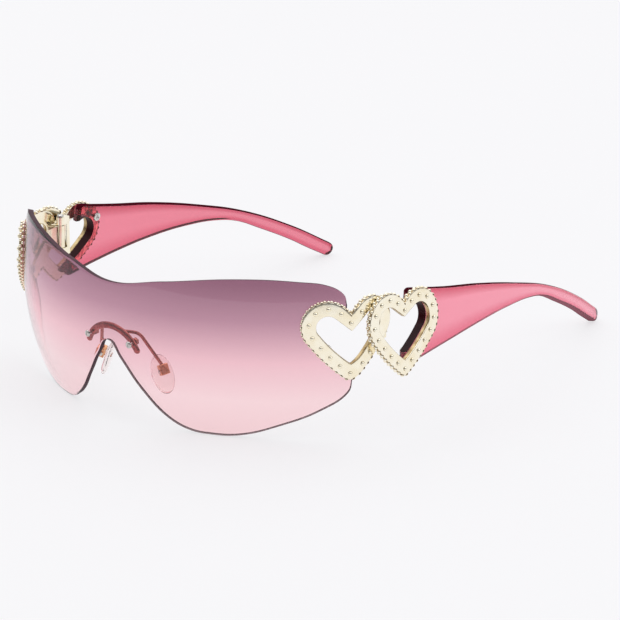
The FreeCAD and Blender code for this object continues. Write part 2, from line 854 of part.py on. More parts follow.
def arch_prism():
    """The bridge bar's arched outline with round ends, run through the lens."""
    arch = bar_arch_radius()
    half = size("bar_band") / 2
    centre = Vector(0, lens_front_y() - size("cut_overrun"), size("bar_arch_height") - arch)
    swing = math.asin(size("bar_half_span") / arch)

    def arch_point(radius, angle):
        return centre + Vector(radius * math.sin(angle), 0, radius * math.cos(angle))

    edges = [Part.Arc(arch_point(arch + side * half, -swing), arch_point(arch + side * half, 0),
                      arch_point(arch + side * half, swing)).toShape() for side in (1, -1)]
    for end in (1, -1):
        beyond = end * (swing + half / arch)
        edges.append(Part.Arc(arch_point(arch + half, end * swing), arch_point(arch, beyond),
                              arch_point(arch - half, end * swing)).toShape())
    face = Part.Face(Part.Wire(Part.__sortEdges__(edges)))
    return face.extrude(Vector(0, size("lens_radius"), 0))


def bar_back_radius():
    return size("lens_radius") - size("lens_thick") - size("seat_gap") - size("bar_thick")


def bridge_bar():
    centre = Placement(lens_centre(), Rotation())
    front = primitive("Part::Sphere", "bar_front", centre,
                      Radius="Sizes.lens_radius - Sizes.lens_thick - Sizes.seat_gap")
    back = primitive("Part::Sphere", "bar_back", centre,
                     Radius="Sizes.lens_radius - Sizes.lens_thick - Sizes.seat_gap - Sizes.bar_thick")
    strip = gathered("Part::MultiCommon", "bar_strip",
                     [cut("bar_shell", front, back), feature("bar_arch", arch_prism())])
    holes = [lens_hole(f"bar_hole_{number}", direction)
             for number, direction in enumerate(bridge_screw_directions())]
    return keep("bridge_bar", cut("bar", strip, gathered("Part::MultiFuse", "bar_holes", holes)))


def bridge_fasteners():
    """Domed screws from the front of the lens, and nuts behind the bar."""
    grip = "Sizes.lens_thick + 2 * Sizes.seat_gap + Sizes.bar_thick + Sizes.nut_thick"
    steps = [("Sizes.screw_radius", "0", grip),
             ("Sizes.bridge_screw_head_radius", grip, "Sizes.bridge_screw_head_height")]
    screws = []
    nuts = []
    for number, direction in enumerate(bridge_screw_directions()):
        head = lens_centre() + direction * (size("lens_radius") + size("seat_gap"))
        length = size("lens_radius") + size("seat_gap") - bar_back_radius() + size("nut_thick")
        screws.append(stacked(f"bridge_screw_{number}", pointing(head - direction * length, direction),
                              steps))
        seat = lens_centre() + direction * (bar_back_radius() - size("seat_gap") - size("nut_thick"))
        blank = primitive("Part::Prism", f"nut_blank_{number}", pointing(seat, direction),
                          Circumradius="Sizes.nut_radius", Height="Sizes.nut_thick")
        blank.Polygon = NUT_SIDES
        nuts.append(cut(f"bridge_nut_{number}", blank, lens_hole(f"nut_bore_{number}", direction)))
    keep("bridge_screws", group("bridge_screw_pair", screws))
    keep("bridge_nuts", group("bridge_nut_pair", nuts))


# Nose pads and their arms

def pad_frame():
    """The left pad's placement: X down its length, Y across it and Z towards the nose."""
    splay = math.radians(size("pad_splay"))
    slope = math.radians(size("pad_slope"))
    lean = math.radians(size("pad_lean"))
    towards = Vector(-math.cos(slope) * math.cos(splay), math.cos(slope) * math.sin(splay),
                     -math.sin(slope))
    downward = Vector(math.sin(lean), 0, -math.cos(lean))
    downward = (downward - towards * downward.dot(towards)).normalize()
    across = towards.cross(downward)
    axes = Matrix()
    axes.A11, axes.A21, axes.A31 = downward
    axes.A12, axes.A22, axes.A32 = across
    axes.A13, axes.A23, axes.A33 = towards
    centre = Vector(size("pad_box_x"), lens_front_y() + size("pad_box_depth"), size("pad_box_height"))
    return Placement(centre, Placement(axes).Rotation)


def framed(frame, x, y, z):
    """A placement at a local offset in a frame."""
    return frame * Placement(Vector(x, y, z), Rotation())


def pad_axle(frame, reach):
    """A placement along a pad's screw, across the box, that starts at a reach from its middle."""
    return frame * Placement(Vector(0, -reach, 0), Rotation(Vector(0, 0, 1), Vector(0, 1, 0)))


def box_back():
    """How far the box reaches behind its screw, away from the nose."""
    return size("box_depth") - size("pad_drop") + size("pad_thick") / 2 + 2 * size("lug_gap")


def pad_box(frame):
    """The small box at an arm's end, open towards the pad."""
    length = size("box_length")
    wall = size("box_wall")
    outer = primitive("Part::Box", "box_outer",
                      framed(frame, -length / 2 - wall / 2, -size("box_width") / 2, -box_back()),
                      Length="Sizes.box_length", Width="Sizes.box_width", Height="Sizes.box_depth")
    inner = primitive("Part::Box", "box_slot",
                      framed(frame, -length / 2 + wall / 2, -size("box_width") / 2 + wall,
                             -box_back() + wall),
                      Length="Sizes.box_length", Width="Sizes.box_width - 2 * Sizes.box_wall",
                      Height="Sizes.box_depth")
    hole = bore("box_bore", pad_axle(frame, size("box_width")), "Sizes.pad_screw_radius + Sizes.seat_gap",
                "2 * Sizes.box_width")
    return cut("box_bored", cut("box_hollow", outer, inner), hole)


def bent_wire(places, bend, radius):
    """A round wire along straight runs with one rounded bend."""
    start, corner, end = places
    back = (start - corner).normalize()
    ahead = (end - corner).normalize()
    half = back.getAngle(ahead) / 2
    reach = bend / math.tan(half)
    middle = (back + ahead).normalize()
    arc_middle = corner + middle * (bend / math.sin(half) - bend)
    path = Part.Wire([Part.LineSegment(start, corner + back * reach).toShape(),
                      Part.Arc(corner + back * reach, arc_middle, corner + ahead * reach).toShape(),
                      Part.LineSegment(corner + ahead * reach, end).toShape()])
    section = closed(ring(WIRE_SIDES, radius, radius))
    section.Placement = pointing(start, corner - start)
    return path.makePipeShell([section], True, False)


def nose_pad_arms(bar):
    """A bent wire from the bridge bar to its pad box."""
    frame = pad_frame()
    root_x = size("arm_root_x")
    root_depth = bar_back_radius() + size("bar_thick") / 2
    root = lens_centre() + on_lens(root_x, bar_height(root_x)) * root_depth
    bend = Vector(size("arm_bend_x"), lens_front_y() + size("arm_bend_depth"), size("arm_bend_height"))
    box_top = frame.multVec(Vector(-size("box_length") / 2, 0, -box_back() + size("box_depth") / 2))
    wire = feature("arm_wire", bent_wire((root, bend, box_top), size("arm_bend_radius"),
                                         size("arm_radius")))
    whole = gathered("Part::MultiFuse", "arm_whole", [wire, pad_box(frame)])
    both_sides("nose_pad_arm", cut("arm", whole, bar))


def crowned_pad(frame):
    """An oval pad between two crowned faces."""
    rings = []
    for level_share, oval_share in PAD_RING_SHARES:
        rings.append(ring(PAD_SIDES, oval_share * size("pad_length") / 2, oval_share * size("pad_width") / 2,
                          level_share * size("pad_thick") / 2))
    pad = flat_sided(rings)
    pad.Placement = framed(frame, size("pad_shift"), 0, size("pad_drop"))
    return pad


def nose_pads():
    """Clear pads with a lug that rocks on the screw in the box."""
    frame = pad_frame()
    cushion = feature("pad_cushion", crowned_pad(frame))
    lug_width = size("box_width") - 2 * size("box_wall") - 2 * size("lug_gap")
    lug = primitive("Part::Box", "pad_lug",
                    framed(frame, -size("lug_length") / 2, -lug_width / 2, -size("lug_back")),
                    Length="Sizes.lug_length",
                    Width="Sizes.box_width - 2 * Sizes.box_wall - 2 * Sizes.lug_gap",
                    Height="Sizes.lug_back + Sizes.pad_drop")
    whole = gathered("Part::MultiFuse", "pad_whole", [cushion, lug])
    hole = primitive("Part::Cylinder", "pad_bore", pad_axle(frame, size("box_width")),
                     Radius="Sizes.pad_screw_radius + Sizes.running_gap", Height="2 * Sizes.box_width")
    both_sides("nose_pad", cut("pad", whole, hole))
    profile = [("0", "0"), ("Sizes.pad_screw_radius", "0"), ("Sizes.pad_screw_radius", "Sizes.box_width"),
               ("Sizes.pad_screw_head_radius", "Sizes.box_width"),
               ("Sizes.pad_screw_head_radius", "Sizes.box_width + Sizes.pad_screw_head_height"),
               ("0", "Sizes.box_width + Sizes.pad_screw_head_height")]
    both_sides("pad_screw", turned("pad_screw_body", profile, pad_axle(frame, size("box_width") / 2)))


# Hearts and what holds them

def front_hearts():
    heart = front_heart()
    plate = front_plate()
    rear = rear_heart()

    def free(place):
        """Whether the rear heart leaves a place on this heart's face free."""
        return not covered_by(rear, pierce(heart, plate, place)[1])

    casting = feature("front_casting", studded_heart(heart, plate, free))
    lower, knuckle, upper = knuckle_levels()
    gusset = feature("knuckle_web", web(KNUCKLE_WEB_SHARES, KNUCKLE_FRONT_SHARE, 0, knuckle,
                                        size("knuckle_height")))
    whole = gathered("Part::MultiFuse", "front_whole",
                     [casting, gusset, barrel("knuckle", knuckle, "knuckle_height")])
    holes = [bore("knuckle_bore", hinge_foot(), "Sizes.hinge_pin_radius + Sizes.seat_gap",
                  "Sizes.lens_height")]
    for number, direction in enumerate(front_screw_directions()):
        start = lens_centre() + direction * (size("lens_radius") - size("cut_overrun"))
        holes.append(bore(f"heart_bore_{number}", pointing(start, direction),
                          "Sizes.screw_radius + Sizes.seat_gap",
                          "Sizes.cut_overrun + Sizes.screw_bite + Sizes.seat_gap"))
    both_sides("front_heart", cut("front", whole, gathered("Part::MultiFuse", "front_bores", holes)))


def front_heart_fasteners():
    """Screws from inside the lens into the front heart, each over a washer."""
    grip = "Sizes.screw_head_height + Sizes.washer_thick + Sizes.lens_thick + 2 * Sizes.seat_gap"
    steps = [("Sizes.screw_head_radius", "0", "Sizes.screw_head_height"),
             ("Sizes.screw_radius", "0", f"{grip} + Sizes.screw_bite")]
    screws = []
    washers = []
    inner = size("lens_radius") - size("lens_thick") - size("seat_gap")
    for number, direction in enumerate(front_screw_directions()):
        seat = lens_centre() + direction * (inner - size("washer_thick"))
        disc = stacked(f"washer_disc_{number}", pointing(seat, direction),
                       [("Sizes.washer_radius", "0", "Sizes.washer_thick")])
        washers.append(cut(f"heart_washer_{number}", disc, lens_hole(f"washer_hole_{number}", direction)))
        foot = seat - direction * (size("seat_gap") + size("screw_head_height"))
        screws.append(stacked(f"heart_screw_{number}", pointing(foot, direction), steps))
    both_sides("heart_screws", group("heart_screw_pair", screws))
    both_sides("heart_washers", group("heart_washer_pair", washers))


def rivet_places():
    """Where the rivets meet the temple's outer face, on the rear heart's band."""
    heart = rear_heart()
    plate = rear_plate()
    places = [on_band(heart, 1, lobe_angle=REAR_RIVET_LOBE_ANGLE),
              on_band(heart, 1, side_share=REAR_RIVET_SIDE_SHARE)]
    return [pierce(heart, plate, place)[0] for place in places]


def rivet_holes(name):
    """Holes through the temple and part of the way into the rear heart."""
    holes = []
    out = lean().multVec(Vector(1, 0, 0))
    for number, place in enumerate(rivet_places()):
        start = place - out * (size("temple_thick") + size("cut_overrun"))
        holes.append(bore(f"{name}_{number}", pointing(start, out), "Sizes.rivet_radius + Sizes.seat_gap",
                          "Sizes.temple_thick + Sizes.cut_overrun + Sizes.rivet_bite + Sizes.seat_gap"))
    return gathered("Part::MultiFuse", name, holes)


def rear_hearts():
    heart = rear_heart()
    casting = feature("rear_casting", studded_heart(heart, rear_plate(), lambda place: True))
    lower, knuckle, upper = knuckle_levels()
    post_start = size("barrel_radius") + size("ear_gap")
    post_end = post_start + size("post_thick")
    pieces = [casting, feature("ear_post", strip(post_start, post_end, lower,
                                                 upper + size("ear_height") - lower))]
    for name, level in (("upper_ear", upper), ("lower_ear", lower)):
        pieces.append(feature(f"{name}_arm", strip(0, post_end, level, size("ear_height"))))
        pieces.append(barrel(name, level, "ear_height"))
    rise = upper + size("ear_height") / 2 - size("rear_lobe_height")
    offset = rear_offset() - rise * math.tan(math.radians(size("temple_lean")))
    pieces.append(feature("ear_web", web(EAR_WEB_SHARES, EAR_FRONT_SHARE, offset, upper,
                                         size("ear_height"))))
    whole = gathered("Part::MultiFuse", "rear_whole", pieces)
    ear_bore = primitive("Part::Cylinder", "ear_bore", hinge_foot(), Height="Sizes.lens_height",
                         Radius="Sizes.hinge_pin_radius + Sizes.running_gap")
    bores = gathered("Part::MultiFuse", "rear_bores", [ear_bore, rivet_holes("rear_rivet_holes")])
    both_sides("rear_heart", cut("rear", whole, bores))


# Temples

def temple_front_y():
    """The front end of the temple, just behind the middle of the rear heart."""
    return rear_heart().frame.Base.y + size("temple_setback")


def temple_outline():
    """The temple from the side, run across its whole width."""
    front = temple_front_y()
    length = size("overall_depth") / 2 - front
    height = size("temple_front_height")

    def place(shares):
        return Vector(0, front + shares[0] * length, shares[1] * height)

    radius = size("temple_tip_radius")
    centre = Vector(0, size("overall_depth") / 2 - radius, radius)
    slope = math.radians(size("temple_tip_slope"))
    ahead = Vector(0, math.cos(slope), -math.sin(slope))
    above = Vector(0, math.sin(slope), math.cos(slope))
    top = [place(shares) for shares in TEMPLE_TOP_SHARES] + [centre + above * radius]
    bottom = [centre - above * radius] + [place(shares) for shares in TEMPLE_BOTTOM_SHARES]
    edges = [spline(top, end_tangent=ahead), Part.Arc(top[-1], centre + ahead * radius, bottom[0]).toShape(),
             spline(bottom, start_tangent=-ahead), Part.LineSegment(bottom[-1], top[0]).toShape()]
    face = Part.Face(Part.Wire(Part.__sortEdges__(edges)))
    return face.extrude(Vector(2 * temple_start().x, 0, 0))


def temples():
    plan = plan_face(temple_runs(), -size("temple_thick"), -size("seat_gap"))
    wall = feature("temple_wall", leaned(upright(plan)))
    blank = gathered("Part::MultiCommon", "temple_blank", [wall, feature("temple_side", temple_outline())])
    heart = rear_heart()
    opening = feature("temple_opening", heart_prism(heart, heart_wire(heart, size("heart_band"))))
    cuts = gathered("Part::MultiFuse", "temple_cuts", [opening, rivet_holes("temple_rivet_holes")])
    both_sides("temple", cut("temple_arm", blank, cuts))


def temple_rivets():
    """Rivets with flat heads on the temple's inner face."""
    grip = "Sizes.rivet_head_height + Sizes.temple_thick + Sizes.rivet_seat"
    steps = [("Sizes.rivet_head_radius", "0", "Sizes.rivet_head_height"),
             ("Sizes.rivet_radius", "0", f"{grip} + Sizes.rivet_bite")]
    rivets = []
    out = lean().multVec(Vector(1, 0, 0))
    for number, place in enumerate(rivet_places()):
        foot = place - out * (size("temple_thick") + size("rivet_seat") + size("rivet_head_height"))
        rivets.append(stacked(f"temple_rivet_{number}", pointing(foot, out), steps))
    both_sides("temple_rivets", group("temple_rivet_pair", rivets))


def write_parts():
    """Check every object, then write each sub-part to its file."""
    for item in doc.Objects:
        if "Invalid" in item.State or "Error" in item.State:
            raise RuntimeError(f"{item.Name} failed: {item.State}")
    for node in nodes:
        if node.Shape.isNull() or not node.Shape.isValid() or not node.Shape.Solids:
            raise RuntimeError(f"{node.Label} has no valid solid")
    os.makedirs("parts", exist_ok=True)
    for node in nodes:
        node.Shape.exportStep(f"parts/{node.Label}.step")
        print(f"{node.Label}: {len(node.Shape.Solids)} solids, {node.Shape.Volume:.1f} mm3")


shield_lens()
bridge = bridge_bar()
bridge_fasteners()
nose_pad_arms(bridge)
nose_pads()
front_hearts()
front_heart_fasteners()
hinge_screws()
rear_hearts()
temples()
temple_rivets()
doc.recompute()
write_parts()
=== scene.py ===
# %% [markdown]
# # Wrap shield sunglasses with double-heart hinges
# The CAD frame gives every solid its place. This lesson dresses it: the frame is loaded first, then the
# view is set up, then each piece gets a finer mesh where the eye looks closely, and a finish.

# %% Load the frame
import json
import math
from collections import namedtuple

import bpy
from mathutils import Matrix, Vector


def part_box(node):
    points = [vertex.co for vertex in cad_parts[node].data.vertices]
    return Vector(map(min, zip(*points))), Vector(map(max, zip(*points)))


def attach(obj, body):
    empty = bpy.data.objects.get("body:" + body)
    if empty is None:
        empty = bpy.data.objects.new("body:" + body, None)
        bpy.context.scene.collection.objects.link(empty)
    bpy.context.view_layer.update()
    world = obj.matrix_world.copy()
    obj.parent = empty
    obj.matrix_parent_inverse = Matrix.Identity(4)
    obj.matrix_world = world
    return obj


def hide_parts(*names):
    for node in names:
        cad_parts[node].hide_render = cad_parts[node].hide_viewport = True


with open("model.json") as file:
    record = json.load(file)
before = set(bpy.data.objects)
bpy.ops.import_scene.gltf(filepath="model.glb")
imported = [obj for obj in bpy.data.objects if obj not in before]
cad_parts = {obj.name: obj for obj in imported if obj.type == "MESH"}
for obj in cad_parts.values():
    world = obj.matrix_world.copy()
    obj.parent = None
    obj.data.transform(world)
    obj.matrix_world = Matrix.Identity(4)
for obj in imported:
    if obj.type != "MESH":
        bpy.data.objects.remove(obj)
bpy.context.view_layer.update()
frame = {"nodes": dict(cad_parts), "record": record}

MM = 0.001

# %% [markdown]
# ## Camera
# A product photograph taken with a long lens has almost parallel lines. The place and the three axes of
# the camera below were found from the symmetry of the glasses: what shows of the left half and of the
# right half are two views of one shape.

# %% Camera
IMAGE_SIZE, FOCAL_PIXELS = 620, 3349.7
SENSOR, NEAR_CLIP = 36.0, 0.01
CAMERA_PLACE = Vector((0.69376, -0.82413, 0.37599))
CAMERA_RIGHT = Vector((0.76843, 0.63993, -0.00110))
CAMERA_UP = Vector((-0.20285, 0.24522, 0.94801))
CAMERA_BACK = Vector((0.60693, -0.72826, 0.31825))


def linked(name, data):
    """A new object in the scene."""
    made = bpy.data.objects.new(name, data)
    bpy.context.scene.collection.objects.link(made)
    return made


camera = linked("camera", bpy.data.cameras.new("camera"))
camera.data.sensor_width = SENSOR
camera.data.lens = SENSOR * FOCAL_PIXELS / IMAGE_SIZE
camera.data.clip_start = NEAR_CLIP
camera_axes = Matrix((CAMERA_RIGHT, CAMERA_UP, CAMERA_BACK)).transposed()
camera.matrix_world = Matrix.Translation(CAMERA_PLACE) @ camera_axes.to_4x4()
bpy.context.scene.camera = camera
bpy.context.scene.view_settings.view_transform = "Standard"
print("camera lens:", round(camera.data.lens, 1), "mm")

# %% [markdown]
# ## Studio
# The photograph has a pale table and light from all around, with one larger soft lamp above. The world
# gives the all-round light. It is dark low down on the camera's side, so that metal has something dark to
# mirror, as in a real studio. Every surface is a chain of shader nodes, which a few helpers add and link.

# %% Helpers for materials
NOISE_DETAIL = 3.0


def with_inputs(made, **values):
    """Set some inputs of a node by name, with _ for a space."""
    for key, value in values.items():
        made.inputs[key.replace("_", " ")].default_value = value
    return made


def node(material, kind, **values):
    """A new node with some of its inputs set."""
    return with_inputs(material.node_tree.nodes.new(kind), **values)


def link(material, source, target):
    """Lead one node's output to another node's input."""
    material.node_tree.links.new(source, target)


def new_material(name):
    """A material and its Principled shader."""
    material = bpy.data.materials.new(name)
    material.use_nodes = True
    return material, material.node_tree.nodes["Principled BSDF"]


def srgb(red, green, blue):
    """A linear colour from the 0 to 255 numbers of a picture."""
    def linear(level):
        level = level / 255
        return level / 12.92 if level <= 0.04045 else ((level + 0.055) / 1.055) ** 2.4
    return linear(red), linear(green), linear(blue)


def ramp(material, factor, *stops):
    """A colour ramp of (place, colour) stops fed by a factor."""
    made = node(material, "ShaderNodeValToRGB")
    elements = made.color_ramp.elements
    while len(elements) < len(stops):
        elements.new(0.5)
    for element, (place, colour) in zip(elements, stops):
        element.position = place
        element.color = (*colour, 1.0)
    link(material, factor, made.inputs["Fac"])
    return made.outputs["Color"]


def noise(material, scale):
    """Noise on the piece's own coordinates."""
    place = node(material, "ShaderNodeTexCoord")
    made = node(material, "ShaderNodeTexNoise", Scale=scale, Detail=NOISE_DETAIL)
    link(material, place.outputs["Object"], made.inputs["Vector"])
    return made.outputs["Fac"]


def scaled(material, factor, low, high):
    """A factor from 0 to 1 spread over a range."""
    made = node(material, "ShaderNodeMapRange", To_Min=low, To_Max=high)
    link(material, factor, made.inputs["Value"])
    return made.outputs["Result"]


print("mid grey:", round(srgb(128, 128, 128)[0], 3), "in linear light")

# %% Floor
FLOOR_SIZE, FLOOR_DROP, FLOOR_SHOWN = 6.0, 0.0002, 0.72
FLOOR_DEEP, FLOOR_PALE, BACKDROP = srgb(246, 247, 249), srgb(249, 250, 251), srgb(248, 247, 249)


def deselect():
    """Leave edit mode and select nothing."""
    if bpy.context.mode != "OBJECT":
        bpy.ops.object.mode_set(mode="OBJECT")
    bpy.ops.object.select_all(action="DESELECT")


def added(operator, name, **settings):
    """Add a primitive while nothing else is selected."""
    deselect()
    operator(**settings)
    made = bpy.context.object
    made.name = name
    return made


def pale_backdrop(material, shader, colour):
    """Let the eye, metal and glass see a plain pale colour through part of a surface's own shading."""
    rays = node(material, "ShaderNodeLightPath")
    seen = rays.outputs["Is Camera Ray"]
    for kind in ("Is Glossy Ray", "Is Transmission Ray"):
        either = node(material, "ShaderNodeMath")
        either.operation = "MAXIMUM"
        link(material, seen, either.inputs[0])
        link(material, rays.outputs[kind], either.inputs[1])
        seen = either.outputs["Value"]
    glow = node(material, "ShaderNodeEmission", Color=(*colour, 1.0))
    mix = node(material, "ShaderNodeMixShader")
    link(material, scaled(material, seen, 0.0, FLOOR_SHOWN), mix.inputs["Fac"])
    link(material, shader.outputs["BSDF"], mix.inputs[1])
    link(material, glow.outputs["Emission"], mix.inputs[2])
    link(material, mix.outputs["Shader"], material.node_tree.nodes["Material Output"].inputs["Surface"])


floor = added(bpy.ops.mesh.primitive_plane_add, "floor", size=FLOOR_SIZE, location=(0, 0, -FLOOR_DROP))
floor_white, floor_shader = new_material("floor_white")
with_inputs(floor_shader, Roughness=0.6, Specular_IOR_Level=0.2)
floor_colour = ramp(floor_white, noise(floor_white, 3.0), (0.3, FLOOR_DEEP), (0.7, FLOOR_PALE))
link(floor_white, floor_colour, floor_shader.inputs["Base Color"])
pale_backdrop(floor_white, floor_shader, BACKDROP)
floor.data.materials.append(floor_white)
print("floor:", FLOOR_SIZE, "m wide")

# %% World
LIGHT_FROM = Vector((-0.35, 0.42, 0.84))
WORLD_SHADES = ((0.40, (0.10, 0.10, 0.11)), (0.56, (0.34, 0.34, 0.35)), (0.74, (0.92, 0.92, 0.93)))
world = bpy.data.worlds.new("studio")
bpy.context.scene.world = world
world.use_nodes = True
direction = node(world, "ShaderNodeTexCoord")
towards = node(world, "ShaderNodeVectorMath")
towards.operation = "DOT_PRODUCT"
towards.inputs[1].default_value = LIGHT_FROM
link(world, direction.outputs["Generated"], towards.inputs[0])
world_shade = ramp(world, scaled(world, towards.outputs["Value"], 0.5, 1.0), *WORLD_SHADES)
link(world, world_shade, world.node_tree.nodes["Background"].inputs["Color"])
print("world:", len(WORLD_SHADES), "shades")

# %% Lamps
LAMP_AIM = Vector((0, 0, 0.02))


def soft_lamp(name, place, width, power):
    """A square soft lamp that looks at the middle of the glasses."""
    lamp = linked(name, bpy.data.lights.new(name, "AREA"))
    lamp.data.size = width
    lamp.data.energy = power
    axes = (LAMP_AIM - place).to_track_quat("-Z", "Y").to_matrix()
    lamp.matrix_world = Matrix.Translation(place) @ axes.to_4x4()
    return lamp


lamps = (soft_lamp("top_lamp", Vector((-0.5, 0.3, 1.5)), width=2.0, power=7.4),
         soft_lamp("side_lamp", Vector((1.2, 0.2, 0.9)), width=0.8, power=2.6))
print("lamps:", ", ".join(lamp.name for lamp in lamps))

# %% [markdown]
# ## Finishes
# A finish is made of nodes on a piece's own coordinates, so it stays put when the piece moves. Thin tinted
# plastic is clear: its colour comes from light that passes through it. No real surface is even, so noise
# makes each one a little rougher here and smoother there.

# %% Tinted lens
LENS_TINTS = ((0.0, srgb(255, 219, 222)), (0.25, srgb(255, 223, 226)), (0.5, srgb(245, 198, 207)),
              (0.75, srgb(190, 143, 161)), (1.0, srgb(148, 102, 123)))


def axis_of(material, system, axis):
    """One axis of a system of coordinates."""
    place = node(material, "ShaderNodeTexCoord")
    axes = node(material, "ShaderNodeSeparateXYZ")
    link(material, place.outputs[system], axes.inputs["Vector"])
    return axes.outputs[axis]


def roughened(material, shader, scale, low, high):
    """Let noise of a scale move a shader's roughness between two levels."""
    link(material, scaled(material, noise(material, scale), low, high), shader.inputs["Roughness"])


def lens_finish():
    """Plastic tinted from mauve at the top to pale pink at the bottom."""
    material, shader = new_material("lens_tint")
    low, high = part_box("shield_lens")
    level = node(material, "ShaderNodeMapRange", From_Min=low.z, From_Max=high.z)
    link(material, axis_of(material, "Object", "Z"), level.inputs["Value"])
    link(material, ramp(material, level.outputs["Result"], *LENS_TINTS), shader.inputs["Base Color"])
    with_inputs(shader, Transmission_Weight=1.0, IOR=1.42)
    roughened(material, shader, 60.0, 0.01, 0.04)
    return material


LENS_TINT = lens_finish()
print("lens tint:", len(LENS_TINTS), "stops")

# %% Pale gold
# Painted shade: the dark brown that the gold turns towards at the foot of each bead and stud.
FOOT_SHADE_COLOUR = srgb(96, 70, 40)


def bumped(material, shader, scale, strength, distance):
    """Give a shader a bump from noise of a scale."""
    made = node(material, "ShaderNodeBump", Strength=strength, Distance=distance)
    link(material, noise(material, scale), made.inputs["Height"])
    link(material, made.outputs["Normal"], shader.inputs["Normal"])


def gold_finish(name, pale, deep, rough, wear_scale):
    """Plated metal, deeper in patches, fine casting marks, painted shade at each stud's foot."""
    material, shader = new_material(name)
    # Painted shade: a number on each point mixes in the dark brown, most at the foot of a bead or stud.
    shaded_foot = node(material, "ShaderNodeMixRGB", Color2=(*FOOT_SHADE_COLOUR, 1.0))
    depth = node(material, "ShaderNodeAttribute")
    depth.attribute_name = "foot_shade"
    link(material, depth.outputs["Fac"], shaded_foot.inputs["Fac"])
    patches = ramp(material, noise(material, wear_scale), (0.3, deep), (0.65, pale))
    link(material, patches, shaded_foot.inputs["Color1"])
    link(material, shaded_foot.outputs["Color"], shader.inputs["Base Color"])
    with_inputs(shader, Metallic=1.0)
    roughened(material, shader, 900.0, rough, rough * 1.8)
    bumped(material, shader, 1400.0, strength=0.15, distance=0.0001)
    return material


HEART_GOLD = gold_finish("heart_gold", srgb(255, 249, 230), srgb(250, 239, 210), 0.10, 220.0)
# Painted shade: the walls round each heart's plate take this darker copy of the gold.
RIM_GOLD_SHADE = gold_finish("rim_gold_shade", srgb(206, 184, 140), srgb(146, 120, 84), 0.2, 400.0)
WIRE_GOLD = gold_finish("wire_gold", srgb(196, 138, 122), srgb(146, 94, 88), 0.08, 400.0)
BOX_GOLD = gold_finish("box_gold", srgb(255, 204, 160), srgb(196, 124, 88), 0.32, 1500.0)
SCREW_STEEL = gold_finish("screw_steel", srgb(226, 224, 220), srgb(190, 188, 184), 0.18, 700.0)
print("metals: 5")

# %% Clear pads, washers, and the painted shade of cut edges
def plastic_finish(name, pale, deep, scale, rough, index, clear=1.0, shine=0.5):
    """Moulded plastic with slow waves of colour."""
    material, shader = new_material(name)
    waves = ramp(material, noise(material, scale), (0.3, deep), (0.7, pale))
    link(material, waves, shader.inputs["Base Color"])
    with_inputs(shader, Transmission_Weight=clear, Specular_IOR_Level=shine, IOR=index)
    roughened(material, shader, scale * 20, rough, rough * 2)
    bumped(material, shader, scale * 3, strength=0.1, distance=0.0002)
    return material


# Painted shade: the lens's cut edges are a dark mauve, almost opaque and without shine.
LENS_EDGE_SHADE = plastic_finish("lens_edge_shade", srgb(100, 72, 82), srgb(76, 54, 62), scale=60.0, rough=0.2,
                           index=1.5, clear=0.2, shine=0.0)
# Painted shade: the wall of the window cut through each temple is nearly black red, opaque and almost without
# shine.
TEMPLE_CUT_SHADE = plastic_finish("temple_cut_shade", srgb(56, 10, 18), srgb(30, 6, 10), scale=60.0, rough=0.2,
                            index=1.46, clear=0.0, shine=0.1)
PAD_CLEAR = plastic_finish("pad_clear", srgb(253, 246, 244), srgb(248, 236, 234), scale=300.0, rough=0.04,
                           index=1.42)
WASHER_CLEAR = plastic_finish("washer_clear", srgb(250, 248, 246), srgb(240, 238, 236), scale=500.0,
                              rough=0.05, index=1.42)
print("plain plastics: 4")

# %% Pink temples
def temple_finish(name, bottom, middle, top, clear, shine=0.5):
    """Pink plastic with painted light and shade up its UV map, from the lower to the rolled upper border."""
    material, shader = new_material(name)
    height = axis_of(material, "UV", "Y")
    tint = ramp(material, height, (0.0, bottom), (0.35, middle), (0.78, middle), (1.0, top))
    link(material, tint, shader.inputs["Base Color"])
    with_inputs(shader, Transmission_Weight=clear, Specular_IOR_Level=shine, IOR=1.46)
    roughened(material, shader, 800.0, 0.03, 0.06)
    bumped(material, shader, 120.0, strength=0.1, distance=0.0002)
    return material


# Painted light and shade: the outer face is paler and partly milky, a painted sheen; the inner face is a
# deeper copy of the same pink; both are deeper towards the top and bottom borders.
TEMPLE_OUTER_SHEEN = temple_finish("temple_pink", srgb(241, 122, 149), srgb(255, 188, 204), srgb(224, 96, 122), 0.8)
TEMPLE_INNER = temple_finish("temple_inner", srgb(240, 92, 118), srgb(255, 114, 136), srgb(216, 62, 88), 1.0)
# Painted shade: the rolled edges are nearly black red, opaque and without shine, lighter along the lower
# edge.
TEMPLE_EDGE_SHADE = temple_finish("temple_edge_shade", srgb(152, 100, 110), srgb(64, 12, 24), srgb(70, 14, 26), 0.0,
                            shine=0.0)
FINISHES = {"lens_tint": LENS_TINT, "heart_gold": HEART_GOLD, "wire_gold": WIRE_GOLD,
            "screw_steel": SCREW_STEEL, "temple_pink": TEMPLE_OUTER_SHEEN, "pad_clear": PAD_CLEAR,
            "washer_clear": WASHER_CLEAR}
print("finishes of the record's slots:", ", ".join(FINISHES))

# %% [markdown]
# ## Guides
# The same few sizes that drive the solids drive the finer meshes, in millimetres. A plan angle is measured
# from straight ahead towards the wearer's left, so one pair of helpers gives every direction on a side.

